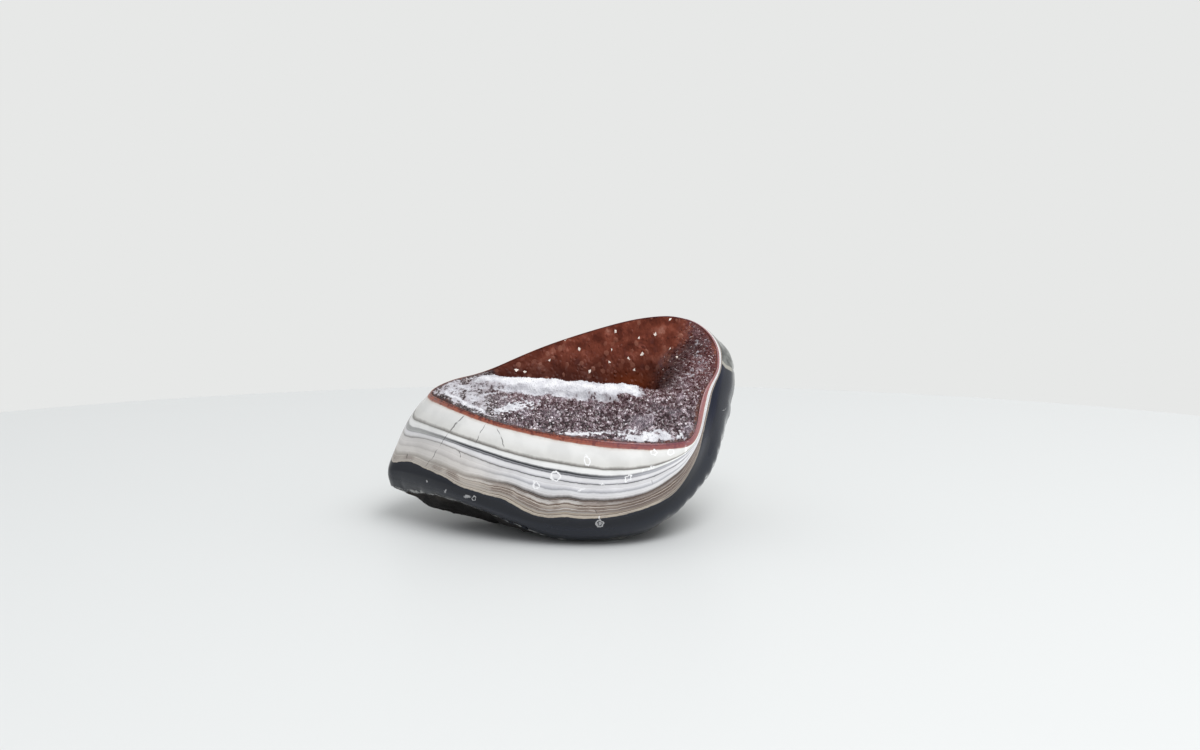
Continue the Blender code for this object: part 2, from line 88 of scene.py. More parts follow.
# Where the bands lie at each station, as shares of the way from the lip (0) over the border (1) to the
# edge (2): outside of the jasper, thin grey line, dark double line, lower grey line, top of the brown
# bands, top of the dark agate, and where the dark agate is darkest.
BAND_SHARES = (
    (0.06, 0.36, 0.50, 0.60, 0.84, 0.98, 1.25),
    (0.06, 0.36, 0.48, 0.57, 0.81, 0.92, 1.20),
    (0.06, 0.355, 0.455, 0.53, 0.80, 0.91, 1.20),
    (0.055, 0.34, 0.43, 0.54, 0.765, 0.93, 1.20),
    (0.055, 0.34, 0.44, 0.545, 0.73, 0.96, 1.22),
    (0.075, 0.35, 0.46, 0.56, 0.75, 1.02, 1.25),
    (0.085, 0.37, 0.48, 0.57, 0.765, 1.005, 1.25),
    (0.085, 0.335, 0.405, 0.50, 0.72, 0.95, 1.22),
    (0.10, 0.24, 0.285, 0.365, 0.55, 0.92, 1.20),
    (0.14, 0.19, 0.215, 0.25, 0.36, 0.68, 1.10),
    (0.19, 0.22, 0.24, 0.27, 0.32, 0.40, 1.00),
    (0.21, 0.24, 0.26, 0.29, 0.34, 0.42, 1.08),
    (0.20, 0.23, 0.26, 0.30, 0.36, 0.43, 1.12),
    (0.18, 0.22, 0.25, 0.29, 0.34, 0.42, 1.22),
    (0.16, 0.20, 0.23, 0.27, 0.33, 0.42, 1.20),
    (0.15, 0.19, 0.22, 0.26, 0.33, 0.42, 1.20),
    (0.14, 0.18, 0.22, 0.27, 0.35, 0.45, 1.20),
    (0.08, 0.16, 0.21, 0.29, 0.40, 0.52, 1.15),
    (0.04, 0.12, 0.20, 0.31, 0.46, 0.60, 1.15),
    (0.025, 0.10, 0.20, 0.33, 0.50, 0.64, 1.15),
    (0.02, 0.10, 0.21, 0.34, 0.52, 0.66, 1.15),
    (0.02, 0.11, 0.23, 0.37, 0.54, 0.68, 1.15),
    (0.02, 0.12, 0.25, 0.39, 0.56, 0.70, 1.15),
    (0.02, 0.14, 0.28, 0.41, 0.58, 0.72, 1.15),
    (0.03, 0.18, 0.32, 0.45, 0.62, 0.75, 1.15),
    (0.09, 0.27, 0.38, 0.48, 0.67, 0.80, 1.18),
    (0.08, 0.30, 0.42, 0.53, 0.73, 0.86, 1.20),
    (0.07, 0.33, 0.46, 0.57, 0.79, 0.93, 1.22),
)
# Bumps of the brown bands and of the dark agate's top, as (station, half width in stations, share), and how
# strongly each of these bands follows them.
BORDER_BUMPS = (
    (1.35, 0.30, -0.02),
    (2.9, 0.25, 0.02),
    (3.8, 0.28, -0.05),
    (4.62, 0.34, 0.05),
    (5.1, 0.2, -0.02),
)
BUMP_STRENGTHS = ((4, 0.6), (5, 1.0), (6, 0.5))

# The origin lies under the middle of the specimen, at this place of the stations' own frame.
DATUM = np.array((-0.0003, 0.0056, 0.0))

# Flat spot that the stone stands on, and the shape of the outside. They repeat the source's values.
FOOT_CENTRE = (0.007, 0.003, 0.0)
FOOT_HALF = (0.016, 0.012)
FACE_BULGE = 0.06
BELLY_BULGE_FRONT = 0.17
BELLY_BULGE_REAR = 0.08
REAR_RAMP = (-0.004, 0.016)
SKIN_SWELL = (0.20, 0.19, 0.15, 0.08, 0.0, 0.0, 0.0, 0.06)
SKIN_DROP = (0.0, 0.0, 0.0, 0.02, 0.075, 0.055, 0.01, 0.0)
SWELL_WAY = (0.35, 0.9, -0.45)
SWELL_REACH = 0.05
SKIN_FLOOR = 0.0006
SKIN_BACK_RAMP = (0.0265, 0.004)
SKIN_LEFT_RAMP = (0.022, 0.004)
SKIN_LEFT_BACK_RAMP = (0.012, 0.006)
SKIN_DOWN_RAMP = (0.5, 0.2)
PIT_SEED = 13
PIT_COUNT = 30
PIT_RADIUS = (0.0024, 0.0046)
PIT_DEPTH = 0.42
PIT_TURN = (-0.15, 1.15)
PIT_HEIGHT = (0.006, 0.044)
PIT_SPREAD = (0.046, 0.030)
PIT_SPREAD_BELOW = 0.6
CHIP_WIDTH = 0.0062
CHIP_DEPTH = 0.0012
CHIP_UNEVENNESS = (0.64, 0.7)
CHIP_RIGHT_RAMP = (0.016, 0.012)
CHIP_END_RAMP = (0.014, 0.006)
NICK_WIDTH = 0.0016
NICK_THRESHOLD = 0.1
NICK_DEPTH = 0.0012

# Lumps of the natural skin as (width, height): the source's two, then the finer ones of the husk.
SKIN_LUMPS = ((0.0120, 0.0014), (0.0056, 0.0009), (0.0024, 0.00045), (0.0011, 0.00022))

# Shape of the hollow, from the source.
HOLLOW_CENTRE = (0.004, 0.002)
FLOOR_FRONT_Y = -0.0175
FLOOR_FRONT_Z = 0.0296
FLOOR_SLOPE = 0.43
FLOOR_TOP = 0.0405
FLOOR_TOP_RIGHT = 0.0525
FLOOR_ROUND = 0.0015
LEDGE_Y = 0.0095
LEDGE_SLANT = -0.19
TROUGH_DEPTH = 0.0095
TROUGH_RUN = 0.0085
TROUGH_LEFT_RAMP = (-0.026, 0.012)
TROUGH_RIGHT_RAMP = (0.022, 0.012)
WALL_RUN_FRONT = 0.006
WALL_RUN_REAR = 0.012
HOLLOW_SAMPLES = 200
OPEN_AIR = (0.004, -0.008, 0.07)
LEDGE_RISE = 0.0016
LEDGE_FRONT_RAMP = (-0.0065, 0.0015)
LEDGE_BACK_RAMP = (0.001, 0.003)
LEDGE_LEFT_RAMP = (-0.028, 0.006)
LEDGE_RIGHT_RAMP = (0.021, 0.006)
CRUST_THICKNESS = 0.0022
CRUST_EDGE_THICKNESS = 0.0005
CRUST_DEEPENING = 0.25
SEAT_WAY = (0.0, -0.3, 0.954)
SEAT_WAY_SHARE = 0.75
SEAT_WAY_FULL_AT = 0.4
SEAT_SHARES = (0.0, 0.12, 0.26, 0.4, 0.52, 0.64, 0.8)

COLUMNS_PER_STATION = 14
CURVE_EVENING = 2.2
TINY = 1e-12


def ramp(value, start, run):
    """A rise from 0 to 1 with flat ends."""
    share = np.clip((value - start) / run, 0.0, 1.0)
    return share * share * (3.0 - 2.0 * share)


def mix(first, second, share):
    return first * (1 - share) + second * share


def unit(vectors):
    return vectors / (np.linalg.norm(vectors, axis=-1)[..., None] + TINY)


def bump(value, centre, half):
    """A soft bump of height 1."""
    return np.exp(-(((value - centre) / half) ** 2))


def spline(a, b, c, d, t):
    """The Catmull-Rom curve between b and c."""
    return 0.5 * (2 * b + (c - a) * t + (2 * a - 5 * b + 4 * c - d) * t**2 + (3 * b - a - 3 * c + d) * t**3)


def closed_curve(points):
    """A closed smooth curve through the stations' points, evened out so that the polish reflects calmly."""
    at = np.arange(len(points) * COLUMNS_PER_STATION) / COLUMNS_PER_STATION
    index = at.astype(int)
    a, b, c, d = (points[(index + shift) % len(points)] for shift in (-1, 0, 1, 2))
    curve = spline(a, b, c, d, (at - index)[:, None])
    half = COLUMNS_PER_STATION // 2
    weights = {shift: math.exp(-CURVE_EVENING * (shift / half) ** 2) for shift in range(-half, half + 1)}
    total = sum(weights.values())
    return sum(np.roll(curve, shift, axis=0) * (weight / total) for shift, weight in weights.items())


def rings_at(rings, shares):
    """Rings on smooth curves across the given rings. The shares may differ from column to column."""
    rings = np.asarray(rings)
    padded = np.concatenate([[2 * rings[0] - rings[1]], rings, [2 * rings[-1] - rings[-2]]])
    place = np.asarray(shares) * (len(rings) - 1)
    index = np.clip(place.astype(int), 0, len(rings) - 2)
    columns = np.arange(rings.shape[1])[None, :]
    a, b, c, d = (padded[index + shift, columns] for shift in range(4))
    return spline(a, b, c, d, (place - index)[..., None])


def bulged_middle(first, last, amount, outward):
    """The ring halfway between two rings, pushed out by a share of their distance."""
    run = last - first
    both = first + last
    normal = unit(np.cross(run, np.roll(both, -1, axis=0) - np.roll(both, 1, axis=0)))
    normal *= np.where((normal * outward).sum(axis=1) < 0, -1.0, 1.0)[:, None]
    return both / 2 + normal * (amount * np.linalg.norm(run, axis=1))[:, None]


def noise_at(points, width, shift=0.0):
    """Noise of about -0.5 to 0.5 at many points, with lumps of this width in metres."""
    flat = (points.reshape(-1, 3) / width + shift).tolist()
    return np.array([noise.noise(Vector(point)) for point in flat]).reshape(points.shape[:-1])


def chipped(edge, border):
    """The edge with small scoops nibbled from its lower right stretch."""
    side = ramp(edge[:, 0], *CHIP_RIGHT_RAMP) * (1 - ramp(edge[:, 1], *CHIP_END_RAMP))
    step = np.linalg.norm(np.diff(edge, axis=0), axis=1)
    along = np.concatenate([[0.0], np.cumsum(step)]) / CHIP_WIDTH
    along += CHIP_UNEVENNESS[0] * np.sin(CHIP_UNEVENNESS[1] * along)
    scoop = 1 - np.abs(np.sin(np.pi * along))
    nicks = np.maximum(noise_at(edge, NICK_WIDTH) - NICK_THRESHOLD, 0) * NICK_DEPTH
    return edge - unit(edge - border) * (CHIP_DEPTH * side * scoop + nicks)[:, None]


def foot_ring(edge):
    """The rim of the flat spot, with one point towards each point of the edge."""
    centre = np.array(FOOT_CENTRE[:2])
    ring = np.zeros_like(edge)
    ring[:, :2] = centre + unit((edge[:, :2] - centre) / FOOT_HALF) * FOOT_HALF
    return ring


def swollen_middle(edge, foot):
    """The ring of the skin halfway between the edge and the flat spot."""
    turn = np.arctan2(edge[:, 1] - FOOT_CENTRE[1], edge[:, 0] - FOOT_CENTRE[0]) / (math.pi / 4)
    swell = np.interp(turn % 8, np.arange(9), SKIN_SWELL + SKIN_SWELL[:1])
    way = np.array(SWELL_WAY) * np.ones_like(edge)
    way[:, 0] *= edge[:, 0] / SWELL_REACH
    span = np.linalg.norm(foot - edge, axis=1)
    ring = (edge + foot) / 2 + way * (swell * span)[:, None]
    ring[:, 2] -= np.interp(turn % 8, np.arange(9), SKIN_DROP + SKIN_DROP[:1]) * span
    ring[:, 2] = np.maximum(ring[:, 2], SKIN_FLOOR)
    return ring


def skin_pits():
    """Seeded places and radii of the pits on the back and the right end."""
    draw = random.Random(PIT_SEED)
    pits = []
    for _ in range(PIT_COUNT):
        turn = draw.uniform(*PIT_TURN) * math.pi
        height = draw.uniform(*PIT_HEIGHT)
        reach = mix(PIT_SPREAD_BELOW, 1.0, height / PIT_HEIGHT[1])
        across = PIT_SPREAD[0] * reach * math.cos(turn)
        back = PIT_SPREAD[1] * reach * math.sin(turn)
        pits.append((np.array((across, FOOT_CENTRE[1] + back, height)), draw.uniform(*PIT_RADIUS)))
    return pits


def skin_height(points):
    """Height of the natural skin's lumps and pits at many points."""
    height = sum(rise * noise_at(points, width) for width, rise in SKIN_LUMPS)
    for centre, radius in skin_pits():
        away = np.minimum(np.linalg.norm(points - centre, axis=-1) / (2 * radius), 1.0)
        height -= PIT_DEPTH * radius * (1 - away * away) ** 2
    return height


def behind_ledge(x, y):
    """How far a place lies behind the ledge's crest."""
    return y - (LEDGE_Y + LEDGE_SLANT * x)


def floor_height(x, y):
    """Height of the hollow's floor, before its walls rise from it."""
    right = ramp(x, *TROUGH_RIGHT_RAMP)
    slope = FLOOR_FRONT_Z + FLOOR_SLOPE * (y - FLOOR_FRONT_Y)
    top = mix(FLOOR_TOP, FLOOR_TOP_RIGHT, right)
    floor = top - FLOOR_ROUND * np.log1p(np.exp((top - slope) / FLOOR_ROUND))
    trough = ramp(behind_ledge(x, y), 0, TROUGH_RUN) * ramp(x, *TROUGH_LEFT_RAMP) * (1 - right)
    return floor - TROUGH_DEPTH * trough


def hollow_rings(lip, ways):
    """Rings of the smooth hollow, and the length of each column from the lip to the pole."""
    share = np.linspace(0, 1, HOLLOW_SAMPLES)[:, None, None]
    flat = mix(lip[None, :, :2], np.array(HOLLOW_CENTRE), share)
    down = np.linalg.norm(flat - lip[None, :, :2], axis=2)
    run = mix(WALL_RUN_FRONT, WALL_RUN_REAR, ramp(lip[:, 1], *REAR_RAMP))
    rise = lip[:, 2] - floor_height(lip[:, 0], lip[:, 1])
    wall = np.clip(1 - down / run, 0, 1) ** 2 * rise
    path = np.dstack([flat, floor_height(flat[..., 0], flat[..., 1]) + wall])
    steps = np.linalg.norm(np.diff(path, axis=0), axis=2)
    length = np.concatenate([np.zeros((1, len(lip))), np.cumsum(steps, axis=0)])
    rings = np.empty((len(ways), len(lip), 3))
    for column, total in enumerate(length[-1]):
        at = [mix(fixed, total, part) for fixed, part in ways]
        for axis in range(3):
            rings[:, column, axis] = np.interp(at, length[:, column], path[:, column, axis])
    return rings, length[-1]


def hollow_pole():
    """The place on the hollow's floor where every column ends."""
    x, y = HOLLOW_CENTRE
    return np.array([x, y, floor_height(x, y)])


def hollow_normals(rings):
    """Unit normals of a stack of hollow rings that ends at the pole, pointing into the open."""
    grid = np.concatenate([rings, np.repeat(hollow_pole()[None, None], len(rings[0]), axis=1)])
    across = np.roll(grid, -1, axis=1) - np.roll(grid, 1, axis=1)
    normals = unit(np.cross(across, np.gradient(grid, axis=0)))[:-1]
    toward = np.array(OPEN_AIR) - rings
    return normals * np.where((normals * toward).sum(axis=2) < 0, -1.0, 1.0)[..., None]


def seated_rings(lip, inset, clearance):
    """Rings of the seat or, with no clearance, of the crust's underside, from the crust's edge inwards."""
    rings, totals = hollow_rings(lip, [(inset, share) for share in SEAT_SHARES])
    out = []
    for ring, normal, share in zip(rings, hollow_normals(rings), SEAT_SHARES):
        steady = SEAT_WAY_SHARE * ramp(share, 0, SEAT_WAY_FULL_AT)
        down = mix(inset, totals, share) - inset
        depth = np.minimum(CRUST_EDGE_THICKNESS + CRUST_DEEPENING * down, CRUST_THICKNESS) + clearance
        out.append(ring - unit(mix(normal, np.array(SEAT_WAY), steady)) * depth[:, None])
    return out


def lip_ring():
    return closed_curve(np.array(STATIONS_MM)[:, 0] * MM)


class Body:
    """Points, faces and named values of one closed skin, gathered before the mesh is made."""

    def __init__(self):
        self.points = []
        self.faces = []
        self.count = 0

    def ring(self, points):
        self.points.append(np.asarray(points))
        start = self.count
        self.count += len(points)
        return start

    def band(self, upper, lower, size):
        """Faces between two rings of the same size."""
        here = np.arange(size)
        after = (here + 1) % size
        self.faces.append(np.stack([upper + here, upper + after, lower + after, lower + here], axis=1))

    def fan(self, ring, size, tip):
        here = np.arange(size)
        self.faces.append(np.stack([ring + here, ring + (here + 1) % size, np.full(size, tip)], axis=1))

    def mesh(self, name):
        points = np.concatenate(self.points) - DATUM
        mesh = bpy.data.meshes.new(name)
        faces = [row for block in self.faces for row in block.tolist()]
        mesh.from_pydata(points.tolist(), [], faces)
        mesh.validate()
        return mesh


def volume_of(mesh):
    """Signed volume of a closed mesh, positive where its faces look outwards."""
    mesh.calc_loop_triangles()
    corners = np.empty(len(mesh.loop_triangles) * 3, np.int32)
    mesh.loop_triangles.foreach_get("vertices", corners)
    points = np.empty(len(mesh.vertices) * 3)
    mesh.vertices.foreach_get("co", points)
    triangles = points.reshape(-1, 3)[corners.reshape(-1, 3)]
    return np.einsum("ij,ij->i", triangles[:, 0], np.cross(triangles[:, 1], triangles[:, 2])).sum() / 6


def placed(name, mesh, material):
    """Puts a mesh into the scene, with its faces looking outwards."""
    if volume_of(mesh) < 0:
        mesh.flip_normals()
    mesh.materials.append(material)
    piece = bpy.data.objects.new(name, mesh)
    bpy.context.scene.collection.objects.link(piece)
    return piece


def dress(piece, node):
    """Lets a piece ride on the root in place of a node of the frame, which is hidden."""
    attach(piece, "root")
    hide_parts(node)


def keep(mesh, name, values, domain="POINT"):
    """Stores one number per point or face under a name that the material reads."""
    layer = mesh.attributes.new(name, "FLOAT", domain)
    layer.data.foreach_set("value", np.asarray(values, dtype=np.float32).ravel())


def linear(colour):
    """A hex colour as linear red, green, blue and alpha."""
    parts = [int(colour[place : place + 2], 16) / 255 for place in (1, 3, 5)]
    return (*(c / 12.92 if c <= 0.04045 else ((c + 0.055) / 1.055) ** 2.4 for c in parts), 1.0)


# The setting that the word after a colon gives, for each kind of node that takes one.
MODES = {
    "Mapping": "vector_type",
    "MapRange": "interpolation_type",
    "Math": "operation",
    "Mix": "data_type",
    "TexNoise": "noise_dimensions",
    "VectorMath": "operation",
}


def add(tree, kind, *values, **named):
    """Adds a node, sets or links its inputs, and returns its first output in use."""
    kind, _, mode = kind.partition(":")
    node = tree.nodes.new("ShaderNode" + kind)
    if mode:
        setattr(node, MODES[kind], mode)
    sockets = list(zip([socket for socket in node.inputs if socket.enabled], values))
    for name, value in named.items():
        if name in node.inputs:
            sockets.append((node.inputs[name], value))
        else:
            setattr(node, name, value)
    for socket, value in sockets:
        if isinstance(value, bpy.types.NodeSocket):
            tree.links.new(value, socket)
        else:
            socket.default_value = value
    return next(socket for socket in node.outputs if socket.enabled)


def new_material(name):
    """A material with an empty tree but for its shader, and that shader."""
    material = bpy.data.materials.new(name)
    material.use_nodes = True
    tree = material.node_tree
    return material, tree, tree.nodes["Principled BSDF"]


def following(tree, value, stops):
    """Colours that follow a value through a list of (value, hex colour)."""
    low, high = stops[0][0], stops[-1][0]
    colour = add(tree, "ValToRGB", add(tree, "MapRange:LINEAR", value, low, high))
    elements = colour.node.color_ramp.elements
    for _ in stops[2:]:
        elements.new(1.0)
    for element, (place, _) in zip(elements, stops):
        element.position = (place - low) / (high - low)
    for element, (_, shown) in zip(elements, stops):
        element.color = linear(shown)
    return colour


# Bands from the lip to the lower grey line, then on to the edge. A layer counts the band lines that lie
# inside it, so the jasper ends at 1, the thin grey line is 2, the dark double line 3 and so on.
INNER_BANDS = (
    (0.00, "#552a26"),
    (0.22, "#6d352e"),
    (0.50, "#8f5144"),
    (0.80, "#9c6250"),
    (0.95, "#b08272"),
    (1.03, "#ddd6d0"),
    (1.12, "#ebeae8"),
    (1.40, "#e8e8e6"),
    (1.85, "#dbdad6"),
    (1.95, "#908d88"),
    (2.03, "#6d6b68"),
    (2.10, "#d4d4d1"),
    (2.26, "#f0f0ef"),
    (2.62, "#eeeeed"),
    (2.76, "#8c8d8f"),
    (2.84, "#3f4043"),
    (2.95, "#343538"),
    (3.03, "#7c7d80"),
    (3.08, "#a3a4a8"),
    (3.14, "#4a4b4e"),
    (3.22, "#84858a"),
    (3.32, "#e0dfe2"),
    (3.60, "#ebeaec"),
    (3.84, "#dcdce0"),
    (3.93, "#75767a"),
    (4.00, "#6f7074"),
)
OUTER_BANDS = (
    (4.00, "#6f7074"),
    (4.08, "#d8d7da"),
    (4.25, "#f0eff1"),
    (4.42, "#d0d0d5"),
    (4.50, "#b0b0b5"),
    (4.57, "#e7e7e9"),
    (4.78, "#e6e4e5"),
    (4.88, "#a09d9c"),
    (4.97, "#4d4745"),
    (5.08, "#6f645e"),
    (5.16, "#c4b9ae"),
    (5.26, "#7b6d63"),
    (5.36, "#c9beb2"),
    (5.46, "#84756a"),
    (5.56, "#a5988c"),
    (5.64, "#5f544d"),
    (5.72, "#b5a999"),
    (5.82, "#8b7f73"),
    (5.89, "#d3c8b8"),
    (5.97, "#cfc3b2"),
    (6.02, "#20242e"),
    (6.25, "#12161f"),
    (6.70, "#0f131d"),
    (7.10, "#181d29"),
    (7.60, "#1a1f2b"),
    (8.00, "#20242d"),
)

# Half depth of a crack or bruise under the polish, and how far its outline strays, in metres.
SPOT_DEPTH = 0.003
SPOT_STRAY = 0.0011
# Cracks and bruises on the polish, as (place in mm, half length and half width in mm, tilt in degrees).
DARK_CRACKS = (
    ((-28.7, -11.2, 33.4), (1.7, 0.20), 47),
    ((-30.8, -11.5, 31.1), (2.3, 0.26), 49),
    ((-33.6, -12.0, 27.4), (3.0, 0.13), 58),
    ((-36.3, -12.0, 23.1), (2.6, 0.11), 58),
    ((-38.4, -11.4, 20.2), (1.8, 0.09), 50),
    ((-22.3, -15.7, 31.4), (1.9, 0.12), 57),
    ((-23.7, -16.7, 28.7), (1.6, 0.15), 69),
    ((-17.6, -17.6, 31.2), (1.3, 0.17), -56),
    ((-16.4, -19.2, 28.6), (2.1, 0.20), -71),
    ((-28.7, -16.2, 24.7), (0.8, 0.14), -59),
    ((-28.5, -16.7, 23.7), (0.7, 0.14), 79),
    ((-44.8, -5.7, 20.9), (1.0, 0.16), 79),
    ((10.0, -29.4, 10.9), (1.1, 0.12), -59),
    ((26.0, -26.3, 18.6), (0.9, 0.09), -82),
)
RING_BRUISES = (
    ((7.7, -25.5, 24.6), (0.75, 1.15), 0),
    ((7.4, -25.3, 25.9), (0.3, 0.5), 10),
    ((-1.2, -26.3, 20.3), (1.35, 1.15), 0),
    ((26.5, -23.6, 26.5), (0.75, 0.6), 0),
    ((31.3, -22.3, 26.3), (0.85, 0.7), 0),
    ((19.1, -27.4, 20.0), (1.1, 0.6), 40),
    ((26.2, -25.1, 22.6), (0.5, 0.4), 0),
    ((-6.7, -25.9, 17.6), (0.8, 0.9), 20),
    ((11.2, -29.2, 7.4), (0.9, 1.0), 0),
    ((-24.6, -20.6, 12.4), (0.5, 0.6), 0),
)
PALE_BRUISES = (
    ((23.5, -26.0, 21.8), (0.7, 0.28), 45),
    ((6.0, -28.1, 16.9), (1.6, 0.33), 28),
    ((11.8, -28.1, 18.5), (0.9, 0.30), 0),
    ((11.1, -29.2, 9.0), (0.35, 0.8), 0),
    ((11.2, -29.2, 7.4), (0.6, 0.7), 0),
    ((-33.1, -16.1, 13.2), (0.9, 0.30), 80),
    ((-26.6, -19.7, 12.6), (1.4, 0.6), 8),
    ((-38.6, -12.2, 15.1), (0.45, 0.22), 30),
    ((47.5, -2.0, 33.9), (0.9, 0.10), 0),
    ((-7.3, -25.7, 18.6), (0.6, 0.3), 60),
    ((25.2, -25.4, 22.2), (0.5, 0.2), 45),
)


def zone(tree, *steps):
    """A mask: the product of soft steps, each a value, where it starts and ends, and its levels there."""
    mask = None
    for step in steps:
        here = add(tree, "MapRange:SMOOTHSTEP", *step)
        mask = here if mask is None else add(tree, "Math:MULTIPLY", mask, here)
    return mask


def painted(tree, colour, layers):
    """Lays colours over a colour. A layer is a mask, or the steps of one, and a hex or worked-out colour."""
    for mask, shown in layers:
        if isinstance(mask, tuple):
            mask = zone(tree, *mask)
        if isinstance(shown, str):
            shown = linear(shown)
        colour = add(tree, "Mix:RGBA", mask, colour, shown)
    return colour


def spots(tree, place, table, strength, ring=0.0):
    """A mask of several spots, as stretched and tilted balls: filled, or as rings of this width."""
    mask = None
    for centre, (long, wide), tilt in table:
        middle = [value * MM for value in centre]
        turn = (0.0, -math.radians(tilt), 0.0)
        local = add(tree, "Mapping:TEXTURE", place, middle, turn, (long * MM, SPOT_DEPTH, wide * MM))
        away = add(tree, "VectorMath:LENGTH", local)
        if ring:
            away = add(tree, "Math:ABSOLUTE", add(tree, "Math:SUBTRACT", away, 1.0))
            here = zone(tree, (away, ring * 0.4, ring, strength, 0.0))
        else:
            here = zone(tree, (away, 0.45, 1.0, strength, 0.0))
        mask = here if mask is None else add(tree, "Math:MAXIMUM", mask, here)
    return mask


def shaken(tree, place, width, detail):
    """Places that stray by up to half of SPOT_STRAY, so that what is drawn there comes out uneven."""
    stray = add(tree, "TexNoise:3D", place, PER_MM / width, detail).node.outputs["Color"]
    stray = add(tree, "VectorMath:SUBTRACT", stray, (0.5,) * 3)
    return add(tree, "VectorMath:MULTIPLY_ADD", stray, (SPOT_STRAY,) * 3, place)


# Soft noises in the agate, as name, width in mm and, where they differ from 2 and 0.5, detail and roughness.
AGATE_CLOUDS = (
    ("wander", 5.0),
    ("shiver", 0.9),
    ("brown patches", 7.0),
    ("thread patches", 7.0, 3.0),
    ("mist", 6.0, 3.0),
    ("jasper grains", 0.8, 3.0, 0.6),
    ("jasper clots", 1.7, 2.0),
    ("smoke", 2.5, 3.0),
    ("wear", 2.0, 3.0),
    ("rind", 5.0, 8.0, 0.72),
    ("rust", 8.0, 4.0, 0.6),
    ("specks", 0.9, 3.0, 0.7),
    ("ragged", 2.5, 5.0, 0.7),
    ("polish", 3.0),
    ("rind relief", 1.2, 6.0, 0.75),
)
# Fine lines along the bands, as lines per band, detail and roughness.
AGATE_LINES = (
    ("fine", 6.5, 3.0, 0.75),
    ("hair", 11.0, 2.0),
    ("thread", 17.0, 2.0, 0.6),
    ("seam", 7.0, 2.0),
    ("streak", 9.0, 2.0),
)
RIND_COLOURS = ((0.30, "#171514"), (0.45, "#2c2825"), (0.54, "#453e37"), (0.64, "#645a4e"), (0.74, "#8a7f70"))


